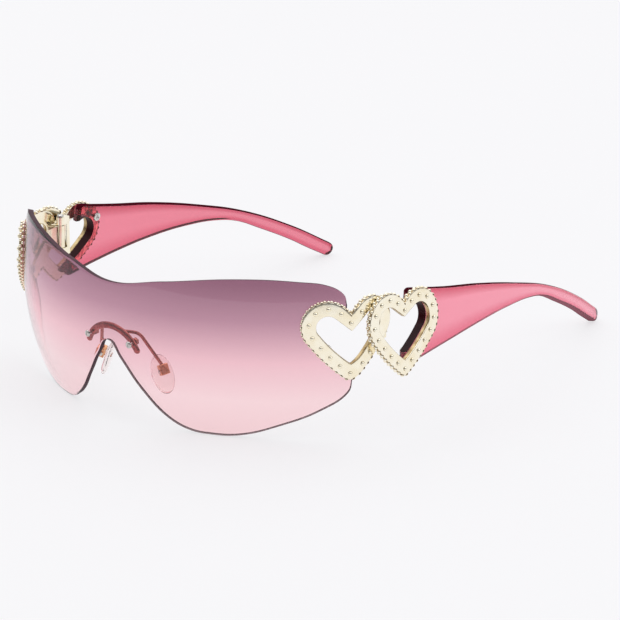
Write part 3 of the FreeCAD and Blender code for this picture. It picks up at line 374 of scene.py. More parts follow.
# %% Sizes and directions
LENS_RADIUS, LENS_THICK = 88.0, 2.0
LENS_CENTRE = Vector((0, -4.5, 33.5))
LENS_HALF_WIDTH, LENS_HEIGHT = 70.7, 53.9
BEND_RADIUS, SIDE_ANGLE = 5.0, 88.0
EDGE_ANGLE = math.degrees(math.asin(LENS_HALF_WIDTH / LENS_RADIUS))
HEART_THICK, HEART_BAND, HEART_GAP, TIP_RADIUS = 1.6, 4.4, 0.45, 2.4
REAR_BEND, REAR_STRAIGHT = 40.0, 10.0
TEMPLE_THICK, TEMPLE_LEAN = 3.2, 6.0


def outward(angle, distance=1.0):
    """The plan vector that points out of a side."""
    turn = math.radians(angle)
    return Vector((math.sin(turn), -math.cos(turn), 0)) * distance


def along(angle, distance=1.0):
    """The plan vector that runs back along a side."""
    turn = math.radians(angle)
    return Vector((math.cos(turn), math.sin(turn), 0)) * distance


BEND_CENTRE = LENS_CENTRE + outward(EDGE_ANGLE, LENS_RADIUS - BEND_RADIUS)
SIDE_START = BEND_CENTRE + outward(SIDE_ANGLE, BEND_RADIUS)
REAR_FOLD = SIDE_START + outward(SIDE_ANGLE, HEART_THICK + HEART_GAP) + along(SIDE_ANGLE, REAR_STRAIGHT)
TEMPLE_START = REAR_FOLD - outward(SIDE_ANGLE, REAR_BEND) + Vector((REAR_BEND, 0, 0))
print("temples start at", [round(value, 1) for value in TEMPLE_START])

# %% [markdown]
# ## Working by hand, in code
# Blender's operators act on whatever is selected, so each piece is made active by itself first. Edit-mode
# steps and modifiers are then run one after another, as one would click through them. A CAD node arrives as
# loose triangles, so a copy of it has its corners merged before it is shaded smooth.

# %% Helpers for editing
MERGE = 1e-6
CREASE, SOLID_CREASE = 40, 35


def make_active(piece):
    """Select one piece alone and make it the active one."""
    deselect()
    piece.select_set(True)
    bpy.context.view_layer.objects.active = piece
    return piece


def edited(piece, *steps):
    """Merge a piece's doubles, and run more edit-mode operators on the whole of it."""
    make_active(piece)
    bpy.ops.object.mode_set(mode="EDIT")
    bpy.ops.mesh.select_all(action="SELECT")
    bpy.ops.mesh.remove_doubles(threshold=MERGE)
    for operator, settings in steps:
        operator(**settings)
    bpy.ops.object.mode_set(mode="OBJECT")
    return piece


def outwards(piece):
    """Turn every face of a closed piece outwards."""
    return edited(piece, (bpy.ops.mesh.normals_make_consistent, {"inside": False}))


def capped(piece):
    """Close a piece's open ends, with its faces outwards."""
    return edited(piece, (bpy.ops.mesh.fill_holes, {"sides": 0}),
                  (bpy.ops.mesh.normals_make_consistent, {"inside": False}))


def cleaned(piece):
    """Take away the slivers that a cut can leave."""
    return edited(piece, (bpy.ops.mesh.dissolve_degenerate, {"threshold": MERGE}))


def smooth(piece, crease=CREASE):
    """Shade a piece smooth, apart from edges that are sharper than a crease."""
    make_active(piece)
    bpy.ops.object.shade_smooth_by_angle(angle=math.radians(crease))
    return piece


def smoothed(node_name):
    """A smooth copy of a CAD node."""
    piece = linked(f"{node_name}_fine", frame["nodes"][node_name].data.copy())
    piece.data.materials.clear()
    return smooth(edited(piece), SOLID_CREASE)


print("creases:", SOLID_CREASE, "degrees on copies of the solids,", CREASE, "on new pieces")

# %% Helpers for shaping
SHARP_EDGES = {"limit_method": "ANGLE", "angle_limit": math.radians(50)}
CURVE_STEPS = 32


def finished(piece, *modifiers):
    """Apply modifiers, each a kind with its settings, one after another."""
    make_active(piece)
    for kind, settings in modifiers:
        modifier = piece.modifiers.new(kind.lower(), kind)
        for key, value in settings.items():
            setattr(modifier, key, value)
        bpy.ops.object.modifier_apply(modifier=modifier.name)
    return piece


def bevel(width, segments, **limit):
    """A Bevel modifier with a width in millimetres."""
    return "BEVEL", {"width": width * MM, "segments": segments, **limit}


def boolean(operation, other, **settings):
    """A Boolean modifier with another piece."""
    return "BOOLEAN", {"operation": operation, "solver": "EXACT", "object": other, **settings}


def applied(piece):
    """Put a piece's place, turn and scale into its mesh."""
    make_active(piece)
    bpy.ops.object.transform_apply(location=True, rotation=True, scale=True)
    return piece


def joined(*pieces):
    """Join pieces to the first of them."""
    make_active(pieces[0])
    if len(pieces) > 1:
        for piece in pieces:
            piece.select_set(True)
        bpy.ops.object.join()
    return pieces[0]


def shaped_grid(name, columns, rows, place):
    """A grid whose points go where a function of their column and row puts them, in millimetres."""
    piece = added(bpy.ops.mesh.primitive_grid_add, name, x_subdivisions=columns, y_subdivisions=rows,
                  size=2.0)
    for vertex in piece.data.vertices:
        column = round((vertex.co.x + 1) / 2 * columns)
        row = round((vertex.co.y + 1) / 2 * rows)
        vertex.co = Vector(place(column, row)) * MM
    return piece


def even_points(line, count):
    """Points at even steps along a line of points."""
    lengths = [0.0]
    for first, last in zip(line, line[1:]):
        lengths.append(lengths[-1] + (last - first).length)
    points = []
    at = 0
    for number in range(count + 1):
        target = lengths[-1] * number / count
        while at < len(line) - 2 and lengths[at + 1] < target:
            at += 1
        step = lengths[at + 1] - lengths[at]
        points.append(line[at].lerp(line[at + 1], (target - lengths[at]) / step if step else 0.0))
    return points


def smooth_line(places, count):
    """Even points along a smooth curve through a few places."""
    data = bpy.data.curves.new("guide", "CURVE")
    data.dimensions = "3D"
    data.resolution_u = CURVE_STEPS
    spline = data.splines.new("BEZIER")
    spline.bezier_points.add(len(places) - 1)
    for point, place in zip(spline.bezier_points, places):
        point.co = place
        point.handle_left_type = point.handle_right_type = "AUTO"
    guide = linked("guide", data)
    bpy.context.view_layer.update()
    mesh = bpy.data.meshes.new_from_object(guide.evaluated_get(bpy.context.evaluated_depsgraph_get()))
    line = [vertex.co.copy() for vertex in mesh.vertices]
    bpy.data.objects.remove(guide)
    return even_points(line, count)


print("shaping: curves in", CURVE_STEPS, "steps a span")

# %% [markdown]
# ## Standing for a solid
# Each new piece takes the place of one CAD node: it rides on the same body, takes the finish of the node's
# material slot if it has none of its own, and hides the node. What is the same on both sides is modelled
# once, on the wearer's left, and mirrored.

# %% Helpers for dressing
SLOT_OF = {part["node"]: part["material_slot"] for part in frame["record"]["subparts"]}
BODY_OF = {member: body for body, members in frame["record"]["behaviour"]["bodies"].items()
           for member in members}


def dressed(piece, node_name):
    """Give a piece the body of the node that it stands for, and its slot's finish if it has none."""
    slot = SLOT_OF[node_name]
    if not piece.data.materials:
        piece.data.materials.append(FINISHES[slot])
    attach(piece, BODY_OF[node_name])
    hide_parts(node_name)
    return piece


def mirrored(piece, name):
    """The same piece for the other side."""
    other = linked(name, piece.data.copy())
    other.data.transform(Matrix.Scale(-1, 4, (1, 0, 0)))
    other.data.flip_normals()
    return other


def both_sides(piece, stem):
    """Dress a left piece and its mirror image as the two nodes of a stem."""
    halves = (piece, mirrored(piece, f"{stem}_right_fine"))
    for side, half in zip(("left", "right"), halves):
        dressed(half, f"{stem}_{side}")
    return halves


# %% [markdown]
# ## Shield lens
# The real lens is one piece of tinted plastic, part of a sphere, with cut edges that look darker than the
# faces because light runs inside them. A grid between its top line and its bottom line keeps the mesh even,
# so that the curved face mirrors the studio without dents. The lines are written as shares of the lens's
# half width and height.

# %% Lens
LENS_TOP = ((0.277, 0.941), (0.618, 0.998), (0.830, 0.987), (0.925, 0.959), (0.970, 0.909), (0.984, 0.846))
LENS_BOTTOM = ((0.068, 0.425), (0.158, 0.256), (0.280, 0.070), (0.362, 0.013), (0.450, 0.000),
               (0.577, 0.011), (0.740, 0.087), (0.884, 0.184), (0.979, 0.297), (1.000, 0.395))
LENS_DIP, NOTCH_TOP = 47.6, 28.3
LENS_COLUMNS, LENS_ROWS = 160, 28


def lens_line(middle_height, shares):
    """Even points along the lens's top or bottom line, from the right end to the left end."""
    half = [Vector((across * LENS_HALF_WIDTH, 0, up * LENS_HEIGHT)) for across, up in shares]
    other = [Vector((-place.x, 0, place.z)) for place in reversed(half)]
    return smooth_line(other + [Vector((0, 0, middle_height))] + half, LENS_COLUMNS)


def on_sphere(place):
    """Push a place forwards onto the lens's sphere."""
    rise = place.z - LENS_CENTRE.z
    ahead = math.sqrt(LENS_RADIUS ** 2 - place.x ** 2 - rise ** 2)
    return Vector((place.x, LENS_CENTRE.y - ahead, place.z))


lens_top = lens_line(LENS_DIP, LENS_TOP)
lens_bottom = lens_line(NOTCH_TOP, LENS_BOTTOM)


def lens_place(column, row):
    return on_sphere(lens_bottom[column].lerp(lens_top[column], row / LENS_ROWS))


lens = shaped_grid("shield_lens_fine", LENS_COLUMNS, LENS_ROWS, lens_place)
lens.data.materials.append(LENS_TINT)
lens.data.materials.append(LENS_EDGE_SHADE)
print("lens:", len(lens.data.polygons), "faces before its thickness")

# %% [markdown]
# ## Hearts
# Each heart is a flat cut-out that is bent over a former, as a jeweller bends sheet over a stake. The front
# former follows the lens and then turns along the side; the side former is the temple's own outer face.

# %% Plans of the formers
LENS_SWEEP, BEND_STEPS = 24, 12
SIDE_REACH, LEAD_REACH, PLAN_STEP = 36, 24, 2
TEMPLE_RADIUS, TEMPLE_STRAIGHT, STRAIGHT_STEP = 374.0, 25, 5
TEMPLE_SWEEP = 18.5


def half_degrees(sweep):
    """Every half degree up to a sweep."""
    return [step / 2 for step in range(1, round(2 * sweep) + 1)]


def front_profile():
    """The plan of the front heart's inner face: round the lens, round the bend, along the side."""
    round_lens = [LENS_CENTRE + outward(EDGE_ANGLE - LENS_SWEEP + step, LENS_RADIUS)
                  for step in range(LENS_SWEEP + 1)]
    bend = [BEND_CENTRE + outward(EDGE_ANGLE + (SIDE_ANGLE - EDGE_ANGLE) * step / BEND_STEPS, BEND_RADIUS)
            for step in range(1, BEND_STEPS + 1)]
    side = [SIDE_START + along(SIDE_ANGLE, distance) for distance in range(PLAN_STEP, SIDE_REACH, PLAN_STEP)]
    return round_lens + bend + side


def side_profile():
    """The plan of the rear heart's inner face and the temple's outer face."""
    lead = [REAR_FOLD - along(SIDE_ANGLE, distance) for distance in range(LEAD_REACH, -1, -PLAN_STEP)]
    bend_centre = REAR_FOLD - outward(SIDE_ANGLE, REAR_BEND)
    bend = [bend_centre + outward(SIDE_ANGLE + angle, REAR_BEND) for angle in half_degrees(90 - SIDE_ANGLE)]
    straight = [TEMPLE_START + Vector((0, distance, 0))
                for distance in range(STRAIGHT_STEP, TEMPLE_STRAIGHT + 1, STRAIGHT_STEP)]
    turn_centre = straight[-1] - Vector((TEMPLE_RADIUS, 0, 0))
    curve = [turn_centre + outward(90 + angle, TEMPLE_RADIUS) for angle in half_degrees(TEMPLE_SWEEP)]
    return lead + bend + straight + curve


front_plan = front_profile()
side_plan = side_profile()
print("plans:", len(front_plan), "and", len(side_plan), "places")

# %% Formers
FRONT_TURN, FRONT_HEIGHT = 61.0, 39.0
REAR_TURN, REAR_HEIGHT = 88.7, 36.3
BOW, BOW_STEPS = 17, 40
WALL_FOOT, WALL_HEIGHT = -10, 75
LEAN_PIVOT = Vector((TEMPLE_START.x, 0, REAR_HEIGHT))
LEAN = Matrix.Rotation(math.radians(-TEMPLE_LEAN), 3, "Y")


def front_former_place(column, row):
    """The plan turned up and down about the lens's centre, so that it is bowed as the lens is."""
    turn = Matrix.Rotation(math.radians(-BOW + 2 * BOW * row / BOW_STEPS), 3, along(FRONT_TURN))
    return LENS_CENTRE + turn @ (front_plan[column] - LENS_CENTRE)


def side_former_place(column, row):
    """The plan stood up as a wall and leaned inwards at the top."""
    place = Vector((side_plan[column].x, side_plan[column].y, WALL_FOOT + WALL_HEIGHT * row))
    return LEAN_PIVOT + LEAN @ (place - LEAN_PIVOT)


front_former = shaped_grid("front_former", len(front_plan) - 1, BOW_STEPS, front_former_place)
side_former = shaped_grid("side_former", len(side_plan) - 1, 1, side_former_place)
print("formers:", len(front_former.data.polygons), "and", len(side_former.data.polygons), "faces")

# %% Heart outlines
HEART_PITCH, FRONT_TILT, REAR_TILT = 21.3, 0.5, 6.5
TIP_STEPS, FLANK_STEPS, LOBE_STEPS, FLANK_SWELL = 5, 16, 32, 0.035
Heart = namedtuple("Heart", "width height lobe cleft_share frame former")


def heart_frame(origin, turn, tilt, lean):
    """A matrix with X back along the heart, Y up and Z out of its face, in metres."""
    axes = Matrix((along(turn), Vector((0, 0, 1)), outward(turn))).transposed()
    axes = lean @ axes @ Matrix.Rotation(math.radians(-tilt), 3, "Z")
    return Matrix.Translation(origin * MM) @ axes.to_4x4()


front_origin = LENS_CENTRE + outward(EDGE_ANGLE, LENS_RADIUS)
front_origin.z = FRONT_HEIGHT
rear_origin = Vector((TEMPLE_START.x, front_origin.y + HEART_PITCH, REAR_HEIGHT))
FRONT_HEART = Heart(width=30.2, height=25.4, lobe=8.0, cleft_share=1.15, former=front_former,
                    frame=heart_frame(front_origin, FRONT_TURN, FRONT_TILT, Matrix.Identity(3)))
REAR_HEART = Heart(width=34.0, height=27.2, lobe=9.3, cleft_share=0.95, former=side_former,
                   frame=heart_frame(rear_origin, REAR_TURN, REAR_TILT, LEAN))


def heart_half(heart, inset):
    """Points up the right half of a heart's outline, from its tip to its cleft."""
    spread = heart.width / 2 - heart.lobe
    depth = heart.height - heart.lobe
    for _ in range(8):
        half = math.atan2(spread, depth) + math.asin(heart.lobe / math.hypot(spread, depth))
        depth = heart.height - heart.lobe + TIP_RADIUS * (1 / math.sin(half) - 1)
    lobe = heart.lobe - inset
    tip_radius = max(TIP_RADIUS - inset, 0.0)
    tip_height = -depth + (inset + tip_radius) / math.sin(half)
    cleft = math.sqrt(max(heart.lobe ** 2 - spread ** 2, 0)) - inset * heart.cleft_share
    top = math.atan2(cleft, -spread) % math.tau - math.acos(min(1.0, lobe / math.hypot(spread, cleft)))
    points = []
    for step in range(TIP_STEPS):
        angle = -math.pi / 2 + (math.pi / 2 - half) * step / TIP_STEPS
        points.append(Vector((tip_radius * math.cos(angle), tip_height + tip_radius * math.sin(angle), 0)))
    start = Vector((tip_radius * math.cos(half), tip_height - tip_radius * math.sin(half), 0))
    shoulder = Vector((spread + lobe * math.cos(half), -lobe * math.sin(half), 0))
    swell = Vector((math.cos(half), -math.sin(half), 0)) * (shoulder - start).length * FLANK_SWELL
    for step in range(FLANK_STEPS):
        share = step / FLANK_STEPS
        points.append(start.lerp(shoulder, share) + swell * 4 * share * (1 - share))
    for step in range(LOBE_STEPS + 1):
        angle = -half + (top + half) * step / LOBE_STEPS
        points.append(Vector((spread + lobe * math.cos(angle), lobe * math.sin(angle), 0)))
    points.append(Vector((0, cleft, 0)))
    return points


def heart_loop(heart, inset):
    """A heart's whole outline, once round from its tip."""
    half = heart_half(heart, inset)
    return half + [Vector((-point.x, point.y, 0)) for point in half[-2:0:-1]]


print("outline:", len(heart_loop(FRONT_HEART, 0)), "points")

# %% [markdown]
# A cut-out starts as a strip of squares between the outer outline and the window. Shrinkwrap throws it on
# the former along the heart's own normal, Solidify gives it the casting's thickness, and Bevel breaks the
# edges so that they catch the light.

# %% Bent plates
BAND_ROWS, PLATE_BREAK = 6, 0.22


def heart_plate(name, heart):
    """A heart's band, bent over its former."""
    outer, inner = heart_loop(heart, 0.0), heart_loop(heart, HEART_BAND)
    count = len(outer)

    def place(column, row):
        return outer[column % count].lerp(inner[column % count], row / BAND_ROWS)

    plate = edited(shaped_grid(name, count, BAND_ROWS, place))
    plate.matrix_world = heart.frame
    finished(plate, ("SHRINKWRAP", {"target": heart.former, "wrap_method": "PROJECT", "use_project_z": True,
                                    "use_negative_direction": True}))
    applied(plate)
    plate.data.materials.append(HEART_GOLD)
    plate.data.materials.append(RIM_GOLD_SHADE)
    # The plate's rim walls take the second finish, the darker painted shade.
    solid = ("SOLIDIFY", {"thickness": HEART_THICK * MM, "offset": 1.0, "material_offset_rim": 1})
    return finished(plate, solid, bevel(PLATE_BREAK, 2, **SHARP_EDGES))


front_plate = heart_plate("front_heart_left_fine", FRONT_HEART)
rear_plate = heart_plate("rear_heart_left_fine", REAR_HEART)
print("plates:", len(front_plate.data.polygons), "and", len(rear_plate.data.polygons), "faces")

# %% [markdown]
# ## Beads and studs
# The casting's edge carries two staggered rows of small beads, and its face one row of low studs. One bead
# and one stud are modelled, then copied along the outline, each copy with its own mesh. A number on each
# point says how strongly painted shade darkens it, most at the foot of a bead or stud, which the gold finish
# reads.

# %% One bead and one stud
BEAD_RADIUS, STUD_RADIUS, STUD_HEIGHT = 0.62, 0.75, 0.6
BALL_SEGMENTS, BALL_RINGS = 12, 8
# The second number is how far up a bead or stud the painted shade at its foot reaches, as a share of its
# height.
BALL_SINK, FOOT_SHADE_REACH = 0.2, 0.4


def half_ball(name, radius, height):
    """The upper half of a ball, flattened to a height and closed below."""
    ball = added(bpy.ops.mesh.primitive_uv_sphere_add, name, segments=BALL_SEGMENTS, ring_count=BALL_RINGS,
                 radius=radius * MM)
    edited(ball, (bpy.ops.mesh.bisect, {"plane_co": (0, 0, -BALL_SINK * radius * MM), "plane_no": (0, 0, 1),
                                        "clear_inner": True, "use_fill": True}),
           (bpy.ops.mesh.select_all, {"action": "SELECT"}),
           (bpy.ops.transform.resize, {"value": (1, 1, height / radius)}))
    bpy.ops.object.shade_smooth()
    ball.data.materials.append(HEART_GOLD)
    # Painted shade: each point gets a number, 1 at the foot and down to 0 higher up, that darkens the gold.
    foot_shade = ball.data.attributes.new("foot_shade", "FLOAT", "POINT")
    for vertex, depth in zip(ball.data.vertices, foot_shade.data):
        depth.value = min(max(1 - vertex.co.z / (FOOT_SHADE_REACH * height * MM), 0.0), 1.0)
    return ball


bead = half_ball("bead", BEAD_RADIUS, BEAD_RADIUS)
stud = half_ball("stud", STUD_RADIUS, STUD_HEIGHT)
print("bead and stud:", len(bead.data.polygons), "faces each")

# %% Places along the outline
RAY_START, COVER_MARGIN = 50.0, 1.0


def on_former(heart, point):
    """Where a point of the heart's plane meets the former, and the way out of the face there."""
    out = heart.frame.to_3x3().col[2].normalized()
    start = heart.frame @ (point * MM) + out * (RAY_START * MM)
    _, place, normal, _ = heart.former.ray_cast(start, -out)
    return place, normal if normal.dot(out) > 0 else -normal


def row_places(heart, inset, pitch, phase, level):
    """Even places along an inset outline, at a level above the inner face, each with two directions."""
    loop = heart_loop(heart, inset)
    loop.append(loop[0])
    length = sum((last - first).length for first, last in zip(loop, loop[1:]))
    points = even_points(loop, 2 * round(length / pitch))
    rows = []
    for point, ahead in zip(points[phase::2], points[phase + 1::2]):
        place, out = on_former(heart, point)
        run = heart.frame.to_3x3() @ (ahead - point)
        rows.append((place + out * level * MM, out, run.cross(out).normalized()))
    return rows


def uncovered(place):
    """Whether a place of the front heart stays clear of the rear heart that lies over it."""
    local = REAR_HEART.frame.inverted() @ place / MM
    loop = heart_loop(REAR_HEART, -COVER_MARGIN)
    clear = True
    for first, last in zip(loop, loop[1:] + loop[:1]):
        if (first.y > local.y) != (last.y > local.y):
            clear ^= local.x < first.x + (local.y - first.y) / (last.y - first.y) * (last.x - first.x)
    return clear


print("bead rows start at", [round(value, 4) for value in on_former(FRONT_HEART, Vector())[0]])

# %% Rows of beads and studs
BEAD_PITCH, BEAD_INSET, BEAD_LEVELS = 2.1, 0.1, (0.45, 1.15)
STUD_PITCH, STUD_SINK = 4.2, 0.03


def facing(place, out):
    """A matrix that stands at a place with its Z pointing out."""
    return Matrix.Translation(place) @ out.to_track_quat("Z", "Y").to_matrix().to_4x4()


def copies(pattern, placements):
    """Copies of a pattern, each with its own mesh."""
    made = [linked(pattern.name, pattern.data.copy()) for _ in placements]
    for copy, placement in zip(made, placements):
        copy.matrix_world = placement
    return made


def decorated(plate, heart, free):
    """Beads along the edge and studs along the band, where a test leaves them free."""
    beads = [spot for phase, level in enumerate(BEAD_LEVELS)
             for spot in row_places(heart, BEAD_INSET, BEAD_PITCH, phase, level)]
    studs = row_places(heart, HEART_BAND / 2, STUD_PITCH, 0, HEART_THICK - STUD_SINK)
    joined(plate, *copies(bead, [facing(place, edge) for place, _, edge in beads if free(place)]))
    joined(plate, *copies(stud, [facing(place, out) for place, out, _ in studs if free(place)]))
    print(plate.name, "has", len(beads), "beads and", len(studs), "studs at most")


decorated(front_plate, FRONT_HEART, uncovered)
decorated(rear_plate, REAR_HEART, lambda place: True)
bpy.data.objects.remove(bead)
bpy.data.objects.remove(stud)

# %% [markdown]
# ## Hinge
# The front heart has one barrel on its back, and the rear heart two ears that hold it from above and below.
# Their webs and barrels come from the solids: a smooth copy is kept only where it lies behind the plate.

# %% Hinge knuckles
BACK_GAP = 0.35


def behind_plate(node_name, heart):
    """The part of a solid that stands on the back of its heart's plate."""
    copy = smoothed(node_name)
    copy.data.materials.append(HEART_GOLD)
    bpy.ops.object.mode_set(mode="EDIT")
    bpy.ops.mesh.select_all(action="DESELECT")
    bpy.ops.mesh.select_mode(type="FACE")
    bpy.ops.object.mode_set(mode="OBJECT")
    out = heart.frame.to_3x3().col[2]
    for face in copy.data.polygons:
        _, near, _, _ = heart.former.closest_point_on_mesh(face.center)
        face.select = (face.center - near).dot(out) > -BACK_GAP * MM
    bpy.ops.object.mode_set(mode="EDIT")
    bpy.ops.mesh.delete(type="FACE")
    bpy.ops.object.mode_set(mode="OBJECT")
    return capped(copy)


for plate, stem, heart in ((front_plate, "front_heart", FRONT_HEART), (rear_plate, "rear_heart", REAR_HEART)):
    knuckle = behind_plate(f"{stem}_left", heart)
    print(stem, "knuckle:", len(knuckle.data.polygons), "faces")
    both_sides(smooth(joined(plate, knuckle)), stem)

# %% [markdown]
# ## Cutting the lens
# The lens stops short of the front heart's window, so that one looks straight through the ornament. A prism
# with the window's outline cuts it, as a router would follow a template. The cut takes the prism's finish,
# the painted shade of a cut edge.

# %% Cut lens
CUT_REACH, LENS_LAP, LENS_BREAK = 0.02, 1.5, 0.2


def heart_cutter(heart, inset, edge):
    """A prism through a heart's window whose walls carry the painted shade of a cut edge."""
    loop = heart_loop(heart, inset)
    cutter = added(bpy.ops.mesh.primitive_circle_add, "cutter", vertices=len(loop), radius=1.0,
                   fill_type="NGON")
    for vertex, place in zip(cutter.data.vertices, loop):
        vertex.co = place * MM - Vector((0, 0, CUT_REACH))
    edited(cutter,
           (bpy.ops.mesh.extrude_region_move, {"TRANSFORM_OT_translate": {"value": (0, 0, 2 * CUT_REACH)}}),
           (bpy.ops.mesh.select_all, {"action": "SELECT"}),
           (bpy.ops.mesh.normals_make_consistent, {"inside": False}))
    cutter.data.transform(heart.frame)
    cutter.data.materials.append(edge)
    return cutter


def cut_by(piece, *cutters, **settings):
    """Cut a piece by other pieces, which are then removed."""
    for cutter in cutters:
        finished(piece, boolean("DIFFERENCE", cutter, **settings))
        bpy.data.objects.remove(cutter)
    return cleaned(piece)


finished(lens, ("SOLIDIFY", {"thickness": LENS_THICK * MM, "offset": -1.0, "material_offset_rim": 1}),
         bevel(LENS_BREAK, 2, **SHARP_EDGES))
window = heart_cutter(FRONT_HEART, HEART_BAND - LENS_LAP, LENS_EDGE_SHADE)
cut_by(lens, mirrored(window, "window_right"), window, material_mode="TRANSFER")
dressed(smooth(lens), "shield_lens")
print("lens:", len(lens.data.polygons), "faces")

# %% [markdown]
# ## Temples
# A temple is injection-moulded in clear pink, wide behind the heart and slim at the ear, with rolled edges.
# A section with round corners is carried from the front to the tip, between the top line and the bottom line
# of its side view, with its outer face on the side former. The heart's window is cut through it last, and the
# cut edge gets a nearly black painted shade. The faces and rolled edges carry painted light and shade as
# well.
# The lines are written as shares of the temple's length and height.

# %% Temple lines
TEMPLE_SETBACK, TEMPLE_END, TEMPLE_HEIGHT = 5.8, 92.5, 46.2
TEMPLE_FRONT = rear_origin.y + TEMPLE_SETBACK
TEMPLE_LENGTH = TEMPLE_END - TEMPLE_FRONT
TEMPLE_TIP, TIP_SLOPE = 2.4, 32.0
TEMPLE_TOP = ((0.000, 0.975), (0.150, 0.885), (0.314, 0.798), (0.503, 0.670), (0.665, 0.536), (0.854, 0.310))
TEMPLE_BOTTOM = ((-0.045, 0.440), (0.147, 0.500), (0.314, 0.536), (0.441, 0.542), (0.558, 0.520),
                 (0.636, 0.472), (0.729, 0.360), (0.844, 0.206), (0.909, 0.105))
TEMPLE_COLUMNS, TIP_COLUMNS = 220, 16
TIP_TURNS = [math.pi / 2 * step / (TIP_COLUMNS + 1) for step in range(1, TIP_COLUMNS + 1)]


def temple_lines():
    """Even points along the top line and the bottom line, which close round the tip."""
    slope = math.radians(TIP_SLOPE)
    ahead = Vector((0, math.cos(slope), -math.sin(slope))) * TEMPLE_TIP
    above = Vector((0, math.sin(slope), math.cos(slope))) * TEMPLE_TIP
    drop = TEMPLE_THICK * math.sin(math.radians(TEMPLE_LEAN))
    centre = Vector((0, TEMPLE_END - TEMPLE_TIP, TEMPLE_TIP + drop))
    lines = []
    for shares, side in ((TEMPLE_TOP, 1), (TEMPLE_BOTTOM, -1)):
        places = [Vector((0, TEMPLE_FRONT + back * TEMPLE_LENGTH, up * TEMPLE_HEIGHT)) for back, up in shares]
        line = smooth_line(places + [centre + above * side], TEMPLE_COLUMNS)
        line += [centre + above * side * math.cos(turn) + ahead * math.sin(turn) for turn in TIP_TURNS]
        lines.append(line)
    return lines


temple_top, temple_bottom = temple_lines()
print("temple lines:", len(temple_top), "places each")

# %% Temple section
TEMPLE_ROLL, PRONG_RADIUS = 0.9, 1.6
FACE_ROWS, ROLL_STEPS = 8, 4
HALF_RING = FACE_ROWS + 2 * ROLL_STEPS + 1
FAR_OUT = 100.0


def temple_ring(height, inset):
    """Points once round a section: heights above its foot, and depths behind its outer face."""
    roll = min(TEMPLE_ROLL, height / 2, TEMPLE_THICK / 2 - inset)
    high = height - roll
    arc = [math.pi / 2 * step / ROLL_STEPS for step in range(ROLL_STEPS + 1)]
    half = [(roll + (high - roll) * step / FACE_ROWS, inset) for step in range(FACE_ROWS)]
    half += [(high + roll * math.sin(turn), inset + roll - roll * math.cos(turn)) for turn in arc]
    half += [(high + roll * math.sin(turn), TEMPLE_THICK - inset - roll + roll * math.cos(turn))
             for turn in arc[:0:-1]]
    return half + [(height - up, TEMPLE_THICK - deep) for up, deep in half]


def fallen(distance, radius):
    """How far a rounded corner falls away at a distance from its end."""
    reach = max(radius - distance, 0.0)
    return radius - math.sqrt(radius ** 2 - reach ** 2)


def on_side(spot, deep):
    """The place behind a spot of the side view, at a depth under the temple's outer face."""
    start = Vector((FAR_OUT, spot.y, spot.z)) * MM
    _, place, out, _ = side_former.ray_cast(start, Vector((-1, 0, 0)))
    return place / MM - (out if out.x > 0 else -out) * deep


def temple_sections():
    """The section at every column, as places."""
    step = (temple_top[1] - temple_top[0]).length
    from_tips = [TEMPLE_TIP] * (TEMPLE_COLUMNS + 1)
    from_tips += [TEMPLE_TIP * (1 - math.sin(turn)) for turn in TIP_TURNS]
    made = []
    for column, (top, foot, from_tip) in enumerate(zip(temple_top, temple_bottom, from_tips)):
        rise = (top - foot).normalized()
        from_front = column * step
        foot = foot + rise * fallen(from_front, TEMPLE_ROLL)
        height = (top - foot).length - fallen(from_front, PRONG_RADIUS)
        inset = max(fallen(from_front, TEMPLE_ROLL), fallen(from_tip, TEMPLE_ROLL))
        made.append([on_side(foot + rise * up, deep) for up, deep in temple_ring(height, inset)])
    return made


sections = temple_sections()
print("temple section:", 2 * HALF_RING, "places")

# %% Temples
OUTER, EDGE, INNER = range(3)


def temple_place(column, row):
    return sections[column][row % (2 * HALF_RING)]


def painted(piece):
    """Give each row of the section its finish, and its height as the second number of the UV map."""
    heights = [up / TEMPLE_HEIGHT for up, _ in temple_ring(TEMPLE_HEIGHT, 0.0)]
    heights.append(heights[0])
    corners = piece.data.uv_layers.active.data
    edge_start = FACE_ROWS + ROLL_STEPS // 2
    edge_ends = (HALF_RING - ROLL_STEPS // 2, HALF_RING - 1)
    for face in piece.data.polygons:
        middle = sum(corners[corner].uv.y for corner in face.loop_indices) / len(face.loop_indices)
        half, row = divmod(int(middle * 2 * HALF_RING), HALF_RING)
        near, far = (OUTER, INNER) if half == 0 else (INNER, OUTER)
        # Outer rows take the painted sheen, inner rows the deeper copy, and the rolled rows the painted edge
        # shade.
        face.material_index = near if row < edge_start else EDGE if row < edge_ends[half] else far
    for corner in corners:
        corner.uv.y = heights[round(corner.uv.y * 2 * HALF_RING)]


temple = shaped_grid("temple_left_fine", len(sections) - 1, 2 * HALF_RING, temple_place)
for finish in (TEMPLE_OUTER_SHEEN, TEMPLE_EDGE_SHADE, TEMPLE_INNER):
    temple.data.materials.append(finish)
painted(temple)
capped(temple)
cut_by(temple, heart_cutter(REAR_HEART, HEART_BAND, TEMPLE_CUT_SHADE), material_mode="TRANSFER")
both_sides(smooth(temple), "temple")
print("temples:", len(temple.data.polygons), "faces each")

# %% [markdown]
# ## Bridge bar and pad arms
# The bar is a drawn strip with rounded edges, arched over the nose just behind the lens. A ring of points is
# carried along the arch and shrinks to nothing at both ends. Each arm is round wire: a line through its
# three places, with its bend rounded, given a round section and made a mesh.

# %% Bridge bar
BAR_BAND, BAR_THICK, BAR_HALF_SPAN, BAR_RISE, BAR_TOP = 2.3, 1.5, 10.4, 6.59, 32.6
BAR_GAP = 0.02
BAR_MIDDLE_RADIUS = LENS_RADIUS - LENS_THICK - BAR_GAP - BAR_THICK / 2
ARCH_RADIUS = (BAR_HALF_SPAN ** 2 + BAR_RISE ** 2) / (2 * BAR_RISE)
BAR_COLUMNS, BAR_ROWS = 80, 20


